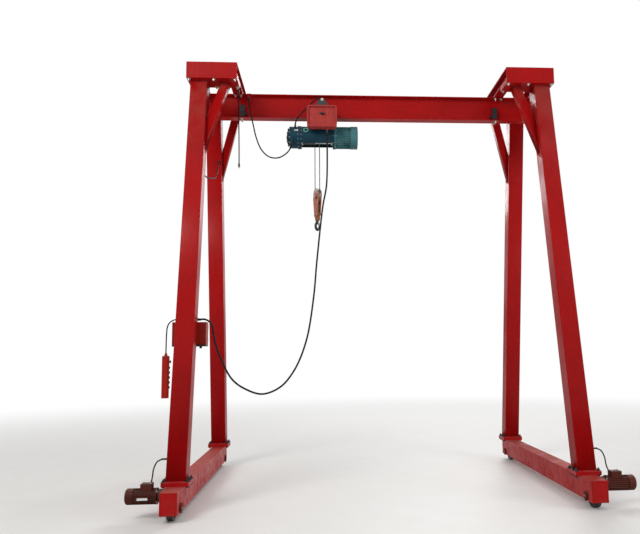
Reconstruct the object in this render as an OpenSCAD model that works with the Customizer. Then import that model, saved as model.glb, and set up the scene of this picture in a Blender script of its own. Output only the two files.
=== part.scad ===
// Travelling gantry crane: an electric rope hoist on a monorail girder between two wheeled A-frames.
// X runs along the girder, Y along the ground beams and Z up. The origin is on the floor, in the middle
// of the overall size. Lengths are millimetres and side is -1 on the left and 1 on the right.

/* [Portal] */
// Distance between the middles of the two A-frames
span = 4000; // [3700:50:4500]
// Height of the girder's underside
girder_z = 4375; // [4200:25:4800]
// Distance between the leg feet of one A-frame
foot_spread = 2700; // [2600:20:2900]
// Distance between the leg heads of one A-frame
head_spread = 1040; // [960:20:1200]

/* [Girder] */
// Depth of the girder
girder_h = 300; // [260:10:360]
// Width of its flanges
girder_w = 128; // [116:2:140]
// Thickness of its web
girder_web = 11; // [8:1:14]
// Thickness of a flange at its edge
flange_edge = 11; // [9:1:14]
// Rise of the sloped inner flange face for each millimetre across
flange_slope = 0.10; // [0.06:0.01:0.16]
// Distance from the middle of the span to the face of each end stop
stop_x = 1515; // [1480:5:1540]

/* [Legs] */
// Width of the square leg tube
leg_w = 190; // [160:5:200]
// Wall of the leg tube
leg_wall = 6; // [5:1:10]
// Outer corner radius of the leg tube
leg_round = 10; // [8:1:14]
// Width of the square knee brace tube
brace_w = 100; // [80:5:110]
// Wall of the knee brace tube
brace_wall = 5; // [4:1:8]
// Distance from the leg to the middle of the brace at its head
brace_reach = 200; // [180:5:220]
// How far down the leg the brace starts, along the leg
brace_drop = 695; // [600:5:760]

/* [Plates] */
// Thickness of each head plate and of its base plate
head_plate_t = 25; // [16:1:30]
// Length of the head plates along the girder
head_plate_l = 570; // [540:5:590]
// Width of the head plates along the ground beams
head_plate_w = 300; // [250:10:320]
// How far the head plates stand out beyond the leg
head_overhang = 40; // [20:5:50]
// Thickness of each foot plate and of its base plate
foot_plate_t = 20; // [12:1:25]
// Side of the square foot plates
foot_plate_w = 260; // [240:5:280]

/* [Top frame] */
// Depth of the rails that carry the girder
rail_h = 140; // [120:5:160]
// Width of the rail flanges
rail_w = 120; // [100:5:140]
// Thickness of the rail flanges
rail_flange = 12; // [8:1:14]
// Thickness of the rail webs
rail_web = 8; // [6:1:10]
// Thickness of the plates that close the frame's ends
end_plate_t = 10; // [8:1:14]

/* [Ground beams] */
// Height of the ground beam's underside
beam_z = 70; // [50:5:90]
// Depth of the ground beam
beam_h = 205; // [190:5:230]
// Width of the ground beam
beam_w = 160; // [150:5:180]
// Wall of the ground beam
beam_wall = 8; // [6:1:12]
// How far the beam runs on past the front foot
beam_front = 390; // [340:10:420]
// How far the beam runs on past the rear foot
beam_rear = 140; // [135:5:160]
// Distance from each end of the beam to its wheel axle
wheel_inset = 150; // [130:5:170]

/* [Travel wheels] */
// Diameter of the travel wheels
wheel_d = 220; // [200:5:240]
// Width of their treads
wheel_w = 60; // [50:2:70]
// Diameter of their axles
axle_d = 40; // [30:2:46]
// Diameter of the bearing caps
cap_d = 90; // [80:2:94]
// Thickness of the bearing caps
cap_t = 16; // [14:1:20]

/* [Travel drives] */
// How far each drive sits behind its wheel axle
drive_back = 68; // [66:1:80]
// How far each drive sits above its wheel axle
drive_up = 100; // [98:1:110]
// Diameter of the drive gearbox
gearbox_d = 134; // [120:2:140]
// Length of the drive gearbox
gearbox_l = 62; // [50:2:70]
// Diameter of the travel motor
motor_d = 150; // [130:2:160]
// Length of the travel motor
motor_l = 288; // [240:4:310]

/* [Trolley] */
// Place of the trolley along the girder, from the middle of the span
trolley_x = -600; // [-700:10:0]
// Distance between the trolley's axles
wheel_base = 190; // [160:5:220]
// Diameter of the trolley wheels at the edge of the flange
trolley_wheel_d = 84; // [76:2:90]
// Thickness of the trolley side plates
side_plate_t = 10; // [8:1:14]
// Length of the trolley side plates
side_plate_l = 340; // [320:5:360]
// Clear gap between the girder's underside and the hoist
hoist_gap = 88; // [80:2:110]
// Diameter of the suspension pins
pin_d = 26; // [20:2:30]

/* [Hoist] */
// Outer diameter of the hoist body
hoist_d = 282; // [270:2:300]
// Length of the drum casing
casing_l = 420; // [400:10:460]
// Wall of the drum casing
casing_wall = 8; // [6:1:12]
// Length of the hoist gearbox
hoist_gear_l = 149; // [130:2:170]
// Length of the hoist motor
hoist_motor_l = 283; // [250:2:300]
// Width of the control box
box_w = 360; // [320:5:380]
// Height of the control box
box_h = 264; // [240:2:280]
// Depth of the control box
box_d = 146; // [120:2:150]
// Corner radius of the control box
box_round = 34; // [20:2:40]

/* [Rope and hook] */
// Diameter of the rope
rope_d = 11; // [8:1:13]
// Height of the sheave's axle
sheave_z = 3400; // [3200:10:3500]
// Radius of the rope's middle on the sheave
sheave_r = 88; // [84:1:92]
// Turn of the hook block about its upright axis
block_turn = 19; // [10:1:25]
// Thickness of the hook block over its cheeks
block_t = 44; // [40:1:54]
// Thickness of the block's cheeks
cheek_t = 7; // [5:1:8]
// Diameter of the hook's shank
shank_d = 28; // [24:1:30]
// Radius of the hook's throat
throat_r = 27; // [24:1:32]

/* [Controls] */
// Width of the control cabinet
cabinet_w = 350; // [300:5:360]
// Height of the control cabinet
cabinet_h = 250; // [220:5:280]
// Depth of the control cabinet
cabinet_d = 150; // [130:5:160]
// Height of the cabinet's underside
cabinet_z = 1595; // [1500:5:1640]
// Length of the pendant
pendant_l = 430; // [400:5:440]
// Width of the pendant
pendant_w = 70; // [60:2:80]

/* [Hidden] */
$fn = 48;

// Running clearance round a pin or axle, and the gap that a wheel keeps from its track
pin_gap = 0.05;
track_gap = 0.3;

// Heights from the floor up
beam_top = beam_z + beam_h;
leg_z0 = beam_top + 2 * foot_plate_t;
girder_top = girder_z + girder_h;
leg_z1 = girder_top - 2 * head_plate_t;
overall_l = beam_front + foot_spread + beam_rear;
girder_y = (beam_front - beam_rear) / 2;

// The legs lean in the plane across the girder, so head plates keep their distance from the span's middle
leg_run = leg_z1 - leg_z0;
lean = atan((foot_spread - head_spread) / 2 / leg_run);
leg_slope = tan(lean);
head_out = span / 2 + leg_w / 2 + head_overhang;
head_in = head_out - head_plate_l;
head_reach = head_spread / 2 + head_plate_w / 2;
brace_angle = atan(brace_reach / brace_drop);

// Axles of the travel wheels
wheel_y = overall_l / 2 - wheel_inset;
wheel_z = wheel_d / 2;
drive_y = -wheel_y + drive_back;
drive_z = wheel_z + drive_up;
beam_out = span / 2 + beam_w / 2;

// Trolley, measured from the middle of the girder
tread_in = 24;
rim_in = girder_w / 2 + 3;
rim_t = 10;
plate_in = rim_in + rim_t + 5;
plate_out = plate_in + side_plate_t;
tread_r = trolley_wheel_d / 2;
trolley_axle_z = girder_z + flange_edge + tread_r + track_gap;
hoist_z = girder_z - hoist_gap - hoist_d / 2;
hoist_r = hoist_d / 2;
casing_x = 150 - casing_l;
box_z = girder_z - 178;
box_back = -24;
box_arm_x = 42;
box_top = box_z + box_h;
pin_x = 50;
pin_drop = 45;
ear_w = 60;
ear_t = 40;

// Where the feed cable enters the block below the hoist gearbox
feed_block_x = 49;
feed_x = trolley_x + casing_x - hoist_gear_l + feed_block_x;
feed_y = -45;
feed_z = hoist_z - 95;

// Glands of the cable that runs from the control box's roof to the front of the hoist gearbox
gear_r = hoist_r - 8;
gland_sink = 5;
hoist_gland_x = 94;
hoist_gland_a = 50;
box_gland_x = 55;
box_gland_y = -60;

// Hook block, measured from its upright axis
hook_x = -60;
fall_x = sheave_r * sin(block_turn);
fall_y = sheave_r * cos(block_turn);
rope_top = hoist_z + 15;
rim_r = sheave_r + 5;
cheek_r = rim_r + 9;
cross_z = -215;
cross_h = 50;
bowl_drop = 125;
hook_t = 30;
hook_turn = 40;
neck_a = 130;
tip_a = 335;
tip_l = 36;
tip_d = 12;
nut_h = 22;
shoulder_h = 12;

// End stops and the pieces for the cables at the girder's left end
stop_t = 12;
stop_h = 80;
stop_l = 60;
buffer_l = 25;
buffer_d = 40;
bracket_x = 75 - head_in;
bracket_t = 10;
bracket_h = 100;
bracket_z = girder_top - 75;
bracket_y = girder_y - girder_w / 2 - bracket_t;
hang_x = -head_in - 35;
hang_y = -110;
hang_end = [hang_x + 17, hang_y, 3740];
plug_l = 40;
plug_d = 24;

// Controls on the rear face of the left front leg
cabinet_x = -span / 2 + 6;
cabinet_back = leg_back(cabinet_z + cabinet_h) + 8;
entry_z = cabinet_z + cabinet_h + 29;
door_t = 6;
pendant_x = cabinet_x - 225;
pendant_y = -850;
pendant_z = 1498;

// Diameters of the cables
control_d = 20;
feed_d = 16;
leg_cable_d = 16;
pendant_d = 13;
drive_d = 13;
hang_d = 14;
hoist_cable_d = 16;
gland_l = 25;

// How far along Y the rear face of a front leg is, at a given height
function leg_back(z) = girder_y - foot_spread / 2 + (z - leg_z0) * leg_slope + leg_w / 2 / cos(lean);
// A point given in the frame of a leg, in the part's own frame
function leg_point(side, end, p) =
    let (a = end * lean)
    [side * span / 2 + p[0],
     girder_y + end * foot_spread / 2 + p[1] * cos(a) - p[2] * sin(a),
     leg_z0 + p[1] * sin(a) + p[2] * cos(a)];
// A point in front of the hoist gearbox, in line with its gland
function off_gearbox(r) =
    [trolley_x + casing_x - hoist_gear_l + hoist_gland_x,
     girder_y - r * sin(hoist_gland_a),
     hoist_z + r * cos(hoist_gland_a)];

// Colours
red = [0.78, 0.06, 0.07];
dark_red = [0.33, 0.05, 0.06];
teal = [0.08, 0.30, 0.33];
orange = [0.85, 0.22, 0.10];
black = [0.06, 0.06, 0.07];
steel = [0.55, 0.56, 0.58];
green_grey = [0.16, 0.22, 0.20];

// Shared shapes

// A box on one side of the crane, between two distances from the middle of the span
module side_box(side, x0, x1, y0, y1, z0, z1)
    translate([side > 0 ? x0 : -x1, y0, z0]) cube([x1 - x0, y1 - y0, z1 - z0]);

// The frame of a leg: its origin in the middle of the foot and Z along the leg
module on_leg(side, end)
    translate([side * span / 2, girder_y + end * foot_spread / 2, leg_z0])
        rotate([end * lean, 0, 0]) children();

// A rectangle with round corners
module round_rect(w, h, r) {
    square([w - 2 * r, h], center = true);
    square([w, h - 2 * r], center = true);
    for (x = [-1, 1], y = [-1, 1])
        translate([x * (w / 2 - r), y * (h / 2 - r)]) circle(r = r);
}

// The section of a square tube
module tube_section(w, wall, r) difference() {
    round_rect(w, w, r);
    round_rect(w - 2 * wall, w - 2 * wall, r - wall + 1);
}

// A rolled beam's section, with flanges that thicken towards the web
module i_section(h, w, web, edge, slope) {
    root = edge + slope * (w - web) / 2;
    polygon([
        [-w / 2, 0], [w / 2, 0], [w / 2, edge], [web / 2, root],
        [web / 2, h - root], [w / 2, h - edge], [w / 2, h], [-w / 2, h],
        [-w / 2, h - edge], [-web / 2, h - root], [-web / 2, root], [-w / 2, edge]
    ]);
}

// A round bar between two distances along X
module bar_x(x0, x1, d) translate([x0, 0, 0]) rotate([0, 90, 0]) cylinder(h = x1 - x0, d = d);
// A round bar between two distances along Y
module bar_y(y0, y1, d) translate([0, y1, 0]) rotate([90, 0, 0]) cylinder(h = y1 - y0, d = d);

// A cable gland that ends at a point and points along one axis
module gland(d) {
    cylinder(h = gland_l * 0.45, d = d * 1.9, $fn = 6);
    cylinder(h = gland_l, d = d * 1.5);
}

// Cables: a tube swept along points, with its rings square to the route
function unit(v) = v / norm(v);
function along(p, i) = unit(p[min(i + 1, len(p) - 1)] - p[max(i - 1, 0)]);
function ring(c, t, ref, r, n) =
    let (u = unit(cross(ref, t)), v = cross(t, u))
    [for (k = [0:n - 1]) c + r * (u * cos(360 * k / n) + v * sin(360 * k / n))];
module tube(p, d, ref, n = 8) {
    m = len(p);
    rings = [for (i = [0:m - 1]) each ring(p[i], along(p, i), ref, d / 2, n)];
    sides = [
        for (i = [0:m - 2], k = [0:n - 1])
            let (a = i * n + k, b = i * n + (k + 1) % n)
            each [[b + n, b, a], [a + n, b + n, a]]
    ];
    ends = [[for (k = [0:n - 1]) k], [for (k = [n - 1:-1:0]) (m - 1) * n + k]];
    polyhedron(points = rings, faces = concat(sides, ends));
}

// Portal

module girder() color(red)
    translate([0, girder_y, girder_z]) rotate([90, 0, 90])
        translate([0, 0, -head_out]) linear_extrude(2 * head_out)
            i_section(girder_h, girder_w, girder_web, flange_edge, flange_slope);

// An angle on each side of the web, with a rubber buffer in front of it
module end_stops() color(black)
    for (side = [-1, 1], y = [-1, 1]) {
        wide = (girder_w - girder_web) / 2 - flange_edge / 2;
        inner = y > 0 ? girder_web / 2 : -girder_web / 2 - wide;
        back = stop_x + buffer_l;
        translate([0, girder_y + inner, 0]) {
            foot = girder_z + flange_edge + flange_slope * (girder_w - girder_web) / 2;
            side_box(side, back, back + stop_t, 0, wide, foot, foot + stop_h);
            side_box(side, back, back + stop_l, 0, wide, foot, foot + stop_t);
            translate([side * (stop_x + buffer_l / 2), wide / 2, foot + stop_t + buffer_d / 2])
                bar_x(-buffer_l / 2, buffer_l / 2, buffer_d);
        }
    }

module rail(side, x) translate([side * x, girder_y, girder_top]) rotate([90, 0, 0])
    translate([0, 0, -head_reach + end_plate_t]) linear_extrude(2 * (head_reach - end_plate_t))
        i_section(rail_h, rail_w, rail_web, rail_flange, 0);

module top_rails(side) color(red) for (x = [head_in + rail_w / 2, head_out - rail_w / 2]) rail(side, x);

module top_frame_ends(side) color(red)
    for (end = [-1, 1]) {
        y0 = girder_y + (end > 0 ? head_reach - head_plate_w : -head_reach);
        side_box(side, head_in, head_out, y0, y0 + head_plate_w, girder_top - head_plate_t, girder_top);
        y1 = girder_y + (end > 0 ? head_reach - end_plate_t : -head_reach);
        side_box(side, head_in, head_out, y1, y1 + end_plate_t,
                 girder_top - head_plate_t, girder_top + rail_h);
    }

module head_plates(side) color(red)
    for (end = [-1, 1]) {
        y0 = girder_y + (end > 0 ? head_reach - head_plate_w : -head_reach);
        side_box(side, head_in, head_out, y0, y0 + head_plate_w, leg_z1, leg_z1 + head_plate_t);
    }

module leg(side, end) color(red) intersection() {
    on_leg(side, end) translate([0, 0, -leg_w]) linear_extrude(leg_run + 3 * leg_w)
        tube_section(leg_w, leg_wall, leg_round);
    side_box(side, span / 2 - leg_w, span / 2 + leg_w, -overall_l, overall_l, leg_z0, leg_z1);
}

// The brace stays in the plane of the leaning leg and is cut off at the leg's face and the head plate
module knee_brace(side, end) intersection() {
    on_leg(side, end) translate([-side * (leg_w / 2 + brace_reach), 0, leg_run / cos(lean)])
        rotate([0, -side * brace_angle, 0]) translate([0, 0, -brace_drop * 1.5])
            linear_extrude(brace_drop * 2) tube_section(brace_w, brace_wall, leg_round);
    side_box(side, head_in - leg_w, span / 2 - leg_w / 2, -overall_l, overall_l, leg_z0, leg_z1);
}

module knee_braces(side) color(red) for (end = [-1, 1]) knee_brace(side, end);

module foot_plates(side) color(red)
    for (end = [-1, 1]) {
        y = girder_y + end * foot_spread / 2;
        side_box(side, span / 2 - foot_plate_w / 2, span / 2 + foot_plate_w / 2,
                 y - foot_plate_w / 2, y + foot_plate_w / 2, leg_z0 - foot_plate_t, leg_z0);
    }

// A box beam, open below at its wheels, with the base plates of the legs on top
module ground_beam(side) color(red) difference() {
    union() {
        side_box(side, span / 2 - beam_w / 2, beam_out, -overall_l / 2, overall_l / 2, beam_z, beam_top);
        for (end = [-1, 1]) {
            y = girder_y + end * foot_spread / 2;
            y_end = min(y + foot_plate_w / 2, overall_l / 2);
            side_box(side, span / 2 - foot_plate_w / 2, span / 2 + foot_plate_w / 2,
                     y - foot_plate_w / 2, y_end, beam_top, beam_top + foot_plate_t);
        }
    }
    side_box(side, span / 2 - beam_w / 2 + beam_wall, beam_out - beam_wall,
             -overall_l / 2 + beam_wall, overall_l / 2 - beam_wall, beam_z + beam_wall, beam_top - beam_wall);
    for (end = [-1, 1])
        translate([side * span / 2, end * wheel_y, wheel_z]) {
            translate([-beam_w / 2 + beam_wall, -wheel_d / 2 - 15, -wheel_z])
                cube([beam_w - 2 * beam_wall, wheel_d + 30, beam_z + beam_wall * 2]);
            bar_x(-beam_w, beam_w, axle_d + 4);
        }
}

// Round covers with blind bores, which carry the ends of the axles
module bearing_caps(side) color(dark_red)
    for (end = [-1, 1], face = [-1, 1])
        translate([side * span / 2, end * wheel_y, wheel_z]) rotate([0, face * 90, 0])
            translate([0, 0, beam_w / 2]) difference() {
                union() {
                    cylinder(h = cap_t * 0.6, d = cap_d);
                    cylinder(h = cap_t, d = cap_d * 0.72);
                }
                translate([0, 0, -1]) cylinder(h = cap_t - 4, d = axle_d + 2 * pin_gap);
            }

// The gearbox: a flange on the beam, a waisted housing and the neck of the motor
module drive_gearbox(side) color(green_grey)
    translate([side * beam_out, drive_y, drive_z]) rotate([0, side * 90, 0]) {
        cylinder(h = 12, d = gearbox_d);
        cylinder(h = gearbox_l - 8, d = gearbox_d * 0.86);
        cylinder(h = gearbox_l, d = gearbox_d * 0.70);
        for (a = [0:60:300]) rotate([0, 0, a])
            translate([gearbox_d * 0.40, -4, 6]) cube([gearbox_d * 0.08, 8, gearbox_l - 18]);
    }

module drive_motor(side) color(dark_red)
    translate([side * (beam_out + gearbox_l), drive_y, drive_z]) {
        rotate([0, side * 90, 0]) {
            cylinder(h = 14, d = motor_d);
            cylinder(h = motor_l - 70, d = motor_d * 0.86);
            for (a = [0:15:345]) rotate([0, 0, a])
                translate([motor_d * 0.40, -1.5, 8]) cube([motor_d * 0.09, 3, motor_l - 84]);
            translate([0, 0, motor_l - 72]) cylinder(h = 60, d = motor_d * 0.98);
            translate([0, 0, motor_l - 14]) cylinder(h = 14, d1 = motor_d * 0.98, d2 = motor_d * 0.84);
        }
        translate([side > 0 ? 50 : -150, -50, motor_d * 0.36]) cube([100, 100, 62]);
        translate([side * 100, 50, motor_d * 0.36 + 38]) rotate([-90, 0, 0]) gland(drive_d);
    }

// A solid wheel turned with its hub and axle
module wheel(side, end) color(black)
    translate([side * span / 2, end * wheel_y, wheel_z]) rotate([0, 90, 0]) rotate_extrude(convexity = 4)
        polygon([
            [0, -beam_w / 2 - cap_t + 6], [axle_d / 2, -beam_w / 2 - cap_t + 6],
            [axle_d / 2, -wheel_w / 2 - 4], [axle_d, -wheel_w / 2 - 4], [axle_d, -wheel_w / 2 + 12],
            [wheel_d / 2 - 22, -wheel_w / 2 + 12], [wheel_d / 2 - 18, -wheel_w / 2],
            [wheel_d / 2 - 4, -wheel_w / 2], [wheel_d / 2, -wheel_w / 2 + 4],
            [wheel_d / 2, wheel_w / 2 - 4], [wheel_d / 2 - 4, wheel_w / 2],
            [wheel_d / 2 - 18, wheel_w / 2], [wheel_d / 2 - 22, wheel_w / 2 - 12],
            [axle_d, wheel_w / 2 - 12], [axle_d, wheel_w / 2 + 4], [axle_d / 2, wheel_w / 2 + 4],
            [axle_d / 2, beam_w / 2 + cap_t - 6], [0, beam_w / 2 + cap_t - 6]
        ]);

// Controls

// The cabinet, its wedge-shaped seat on the leaning leg and the cable entry on its roof
module control_cabinet() {
    color(dark_red) translate([cabinet_x, cabinet_back + cabinet_d / 2, cabinet_z]) {
        translate([0, 0, 16]) linear_extrude(cabinet_h - 16) round_rect(cabinet_w, cabinet_d, 8);
        linear_extrude(16) round_rect(cabinet_w - 12, cabinet_d - 12, 8);
        translate([0, cabinet_d / 2 + door_t, cabinet_h / 2 + 8]) rotate([90, 0, 0])
            linear_extrude(door_t + 1) round_rect(cabinet_w - 24, cabinet_h - 40, 8);
        translate([0, 0, cabinet_h]) {
            translate([-40, -30, 0]) cube([80, 60, 52]);
            for (s = [-1, 1]) translate([s * 40, 0, entry_z - cabinet_z - cabinet_h])
                rotate([0, s * 90, 0]) gland(control_d);
        }
    }
    color(dark_red) for (x = [-1, 1])
        translate([cabinet_x + x * leg_w / 4 + 20, 0, 0]) rotate([90, 0, -90]) linear_extrude(40)
            polygon([for (z = [cabinet_z + 30, cabinet_z + cabinet_h - 20])
                         each [[-leg_back(z), z]],
                     for (z = [cabinet_z + cabinet_h - 20, cabinet_z + 30]) [-cabinet_back - 1, z]]);
}

// A long push-button station with its strain relief
module pendant() color(red)
    translate([pendant_x, pendant_y, pendant_z - pendant_l]) {
        linear_extrude(pendant_l) round_rect(pendant_w, pendant_w * 0.8, 14);
        translate([0, 0, pendant_l]) cylinder(h = 30, d1 = pendant_w * 0.5, d2 = pendant_d + 8);
    }

// Cables

pendant_route = [
    [cabinet_x - 40 - gland_l, cabinet_back + cabinet_d / 2, entry_z],
    [cabinet_x - 90, cabinet_back + cabinet_d / 2, entry_z],
    [-2150, -766, 1874], [-2195, -785, 1850], [-2217, -815, 1800], [-2219, -838, 1735],
    [-2219, -849, 1660], [pendant_x, pendant_y, 1580], [pendant_x, pendant_y, pendant_z + 30]
];
control_route = [
    [trolley_x + 60, -110, box_z - gland_l], [-540, -110, 4100],
    [-550, -210, 3470], [-595, -260, 3200], [-665, -370, 2550], [-705, -430, 2110],
    [-785, -500, 1640], [-910, -550, 1330], [-1060, -590, 1150], [-1250, -630, 1080],
    [-1430, -665, 1140], [-1560, -690, 1240], [-1670, -715, 1440], [-1740, -735, 1640],
    [-1772, -748, 1815], [-1805, -757, 1858], [-1850, -763, 1876],
    [cabinet_x + 95, cabinet_back + cabinet_d / 2, entry_z],
    [cabinet_x + 40 + gland_l, cabinet_back + cabinet_d / 2, entry_z]
];
leg_gland = [leg_w / 2 - 25, leg_w / 2 + gland_l, 3300];
rear_gland = [leg_w / 2 - 25, -leg_w / 2 - gland_l, 3760];
drive_gland_z = 200;
leg_route = [
    leg_point(-1, -1, leg_gland),
    leg_point(-1, -1, leg_gland + [0, 40, 0]),
    [-1924, -345, 3522], [-1910, -190, 3545], [-1905, -20, 3585], [-1905, 140, 3636],
    [-1909, 290, 3706], [-1915, 410, 3785], [-1921, 500, 3868], [-1927, 570, 3948],
    leg_point(-1, 1, rear_gland - [0, 20, 0]),
    leg_point(-1, 1, rear_gland)
];
hanging_route = [
    [hang_x, hang_y, girder_top - gland_l], [hang_x, hang_y, girder_top - 75],
    [hang_x + 8, hang_y, 4280], [hang_x + 14, hang_y, 3960], hang_end
];
feed_route = [
    [bracket_x, bracket_y - gland_l, bracket_z], [bracket_x, bracket_y - gland_l - 25, bracket_z],
    [-1489, -45, 4588], [-1486, -78, 4555], [-1480, -91, 4505], [-1452, -90, 4370],
    [-1420, -86, 4215], [-1385, -82, 4070], [-1320, -74, 3922], [-1225, -66, 3842],
    [-1120, -58, 3838], [-1030, -50, 3894], [-984, -46, 3955],
    [feed_x, feed_y, feed_z - 40], [feed_x, feed_y, feed_z]
];
hoist_route = [
    for (p = [[box_gland_x, box_gland_y, gland_l - 9], [box_gland_x, box_gland_y, gland_l + 9],
              [44, -60, 79], [6, -60, 113], [-45, -60, 119], [-92, -60, 94],
              [-170, -60, 11], [-250, -59, -73], [-298, -49, -134], [-319, -34, -173]])
        [trolley_x + p[0], p[1], box_top + p[2]],
    off_gearbox(gear_r - gland_sink + gland_l + 20),
    off_gearbox(gear_r - gland_sink + gland_l)
];
function drive_route(side) = [
    leg_point(side, -1, [side * (leg_w / 2 + gland_l), 0, drive_gland_z]),
    leg_point(side, -1, [side * (leg_w / 2 + gland_l + 20), 0, drive_gland_z]),
    [side * 2200, -1187, 490], [side * 2234, -1188, 424],
    [side * 2242, -1201, 346], [side * 2242, -1257, 302],
    [side * (beam_out + gearbox_l + 100), drive_y + 50 + gland_l, drive_z + motor_d * 0.36 + 38]
];

// The glands where the cables enter the hollow legs
module leg_glands() color(black) {
    on_leg(-1, -1) translate(leg_gland - [0, gland_l, 0]) rotate([-90, 0, 0]) gland(leg_cable_d);
    on_leg(-1, 1) translate(rear_gland + [0, gland_l, 0]) rotate([90, 0, 0]) gland(leg_cable_d);
    for (side = [-1, 1]) on_leg(side, -1) translate([side * leg_w / 2, 0, drive_gland_z])
        rotate([0, side * 90, 0]) gland(drive_d);
}

module pendant_cable() color(black) tube(pendant_route, pendant_d, [0, 1, 0.2]);
module control_cable() color(black) tube(control_route, control_d, [0, 1, 0]);
module leg_cable() color(black) tube(leg_route, leg_cable_d, [1, 0, 0]);
module hanging_cable() color(black) {
    tube(hanging_route, hang_d, [0, 1, 0]);
    translate(hang_end - [0, 0, plug_l]) cylinder(h = plug_l, d = plug_d);
    translate([hang_x, hang_y, girder_top]) rotate([180, 0, 0]) gland(hang_d);
}
module drive_cable(side) color(black) tube(drive_route(side), drive_d, [1, 1, 0]);
module feed_cable() color(black) tube(feed_route, feed_d, [1, 1, 0]);
module hoist_cable() color(black) tube(hoist_route, hoist_cable_d, [0.2, 1, 0.3]);

// A plate on the edge of the girder's top flange, with the gland of the feed cable
module cable_bracket() color(red)
    translate([bracket_x, bracket_y, 0]) {
        translate([-bracket_h / 4, 0, girder_top - bracket_h]) cube([bracket_h / 2, bracket_t, bracket_h]);
        translate([0, 0, bracket_z]) rotate([90, 0, 0]) gland(feed_d);
    }

// Trolley and hoist

module at_trolley() translate([trolley_x, girder_y, 0]) children();

module trolley_plates() color(dark_red) at_trolley() for (y = [-1, 1])
    translate([0, y > 0 ? plate_out : -plate_in, 0]) rotate([90, 0, 0]) linear_extrude(side_plate_t)
        difference() {
            polygon([
                [-side_plate_l / 2, trolley_axle_z + tread_r], [-side_plate_l / 2, trolley_axle_z - tread_r],
                [-70, girder_z - 75], [70, girder_z - 75],
                [side_plate_l / 2, trolley_axle_z - tread_r], [side_plate_l / 2, trolley_axle_z + tread_r],
                [side_plate_l / 2 - 30, trolley_axle_z + tread_r + 25],
                [-side_plate_l / 2 + 30, trolley_axle_z + tread_r + 25]
            ]);
            for (x = [-1, 1]) translate([x * wheel_base / 2, trolley_axle_z])
                circle(d = 24 + 2 * pin_gap);
            for (x = [-1, 1]) translate([x * pin_x, girder_z - pin_drop]) circle(d = pin_d + 2 * pin_gap);
        }

// Four wheels with tapered treads and outer rims, each on a short axle
module trolley_wheels() color(steel) at_trolley() for (x = [-1, 1], y = [-1, 1])
    translate([x * wheel_base / 2, 0, trolley_axle_z]) rotate([-y * 90, 0, 0]) rotate_extrude()
        polygon([
            [0, tread_in], [tread_r - flange_slope * (girder_w / 2 - tread_in), tread_in],
            [tread_r, girder_w / 2], [tread_r, rim_in], [tread_r + 9, rim_in],
            [tread_r + 7, rim_in + rim_t], [12, rim_in + rim_t], [12, plate_out + 1],
            [17, plate_out + 1], [17, plate_out + 12], [0, plate_out + 12]
        ]);

module suspension_pins() color(steel) at_trolley() for (x = [-1, 1])
    translate([x * pin_x, 0, girder_z - pin_drop]) {
        bar_y(-plate_out - 20, plate_out + 20, pin_d);
        for (y = [-1, 1]) translate([0, y * (plate_out + 11), 0]) bar_y(-9, 9, pin_d + 16);
    }

// The casing: a tube with a wide slot below for the ropes, two end flanges and two ears above
module drum_casing() color(teal) at_trolley() translate([casing_x, 0, hoist_z]) difference() {
    union() {
        bar_x(0, casing_l, hoist_d - 12);
        bar_x(0, 14, hoist_d);
        bar_x(casing_l - 14, casing_l, hoist_d);
        for (x = [-1, 1]) translate([-casing_x + x * pin_x - ear_w / 2, -ear_t / 2, 0])
            cube([ear_w, ear_t, hoist_r + hoist_gap - 16]);
    }
    bar_x(casing_wall, casing_l - casing_wall, hoist_d - 12 - 2 * casing_wall);
    translate([casing_wall + 12, -hoist_r * 0.8, -hoist_r])
        cube([casing_l - 2 * casing_wall - 24, hoist_r * 1.6, hoist_r]);
    translate([-casing_x, 0, girder_z - pin_drop - hoist_z]) for (x = [-1, 1])
        translate([x * pin_x, 0, 0]) bar_y(-ear_t, ear_t, pin_d + 2 * pin_gap);
}

// The drum, with a groove for each turn of the rope
module rope_drum() color(steel) at_trolley() translate([casing_x + casing_wall, 0, hoist_z])
    rotate([0, 90, 0]) {
        land_r = fall_y - rope_d / 2 - track_gap;
        pitch = rope_d + 2;
        length = casing_l - 2 * casing_wall;
        turns = floor((length - 60) / pitch);
        start = (length - turns * pitch) / 2;
        rotate_extrude() polygon([
            [0, 0], [land_r + 14, 0], [land_r + 14, start - 3], [land_r, start - 3],
            for (i = [0:turns - 1]) each [
                [land_r, start + i * pitch + 1], [land_r - 3, start + i * pitch + pitch / 2],
                [land_r, start + (i + 1) * pitch - 1]
            ],
            [land_r, length - start + 3], [land_r + 14, length - start + 3],
            [land_r + 14, length], [0, length]
        ]);
    }

module hoist_gearbox() color(teal) at_trolley()
    translate([casing_x - hoist_gear_l, 0, hoist_z]) {
        bar_x(hoist_gear_l - 20, hoist_gear_l, hoist_d);
        bar_x(24, hoist_gear_l, 2 * gear_r);
        bar_x(0, 30, hoist_d - 60);
        translate([hoist_gland_x, 0, 0]) rotate([hoist_gland_a, 0, 0])
            translate([0, 0, gear_r - gland_sink]) gland(hoist_cable_d);
        translate([feed_block_x - 15, feed_y - girder_y - 18, feed_z - hoist_z]) cube([30, 140, 40]);
    }

module hoist_motor() color(teal) at_trolley()
    translate([casing_x + casing_l, 0, hoist_z]) {
        bar_x(0, 18, hoist_d);
        bar_x(0, hoist_motor_l - 40, hoist_d - 34);
        for (a = [0:12:348]) rotate([a, 0, 0])
            translate([20, -2, hoist_r - 20]) cube([hoist_motor_l - 100, 4, 14]);
        bar_x(hoist_motor_l - 84, hoist_motor_l - 12, hoist_d - 4);
        bar_x(hoist_motor_l - 14, hoist_motor_l, hoist_d);
    }

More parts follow.
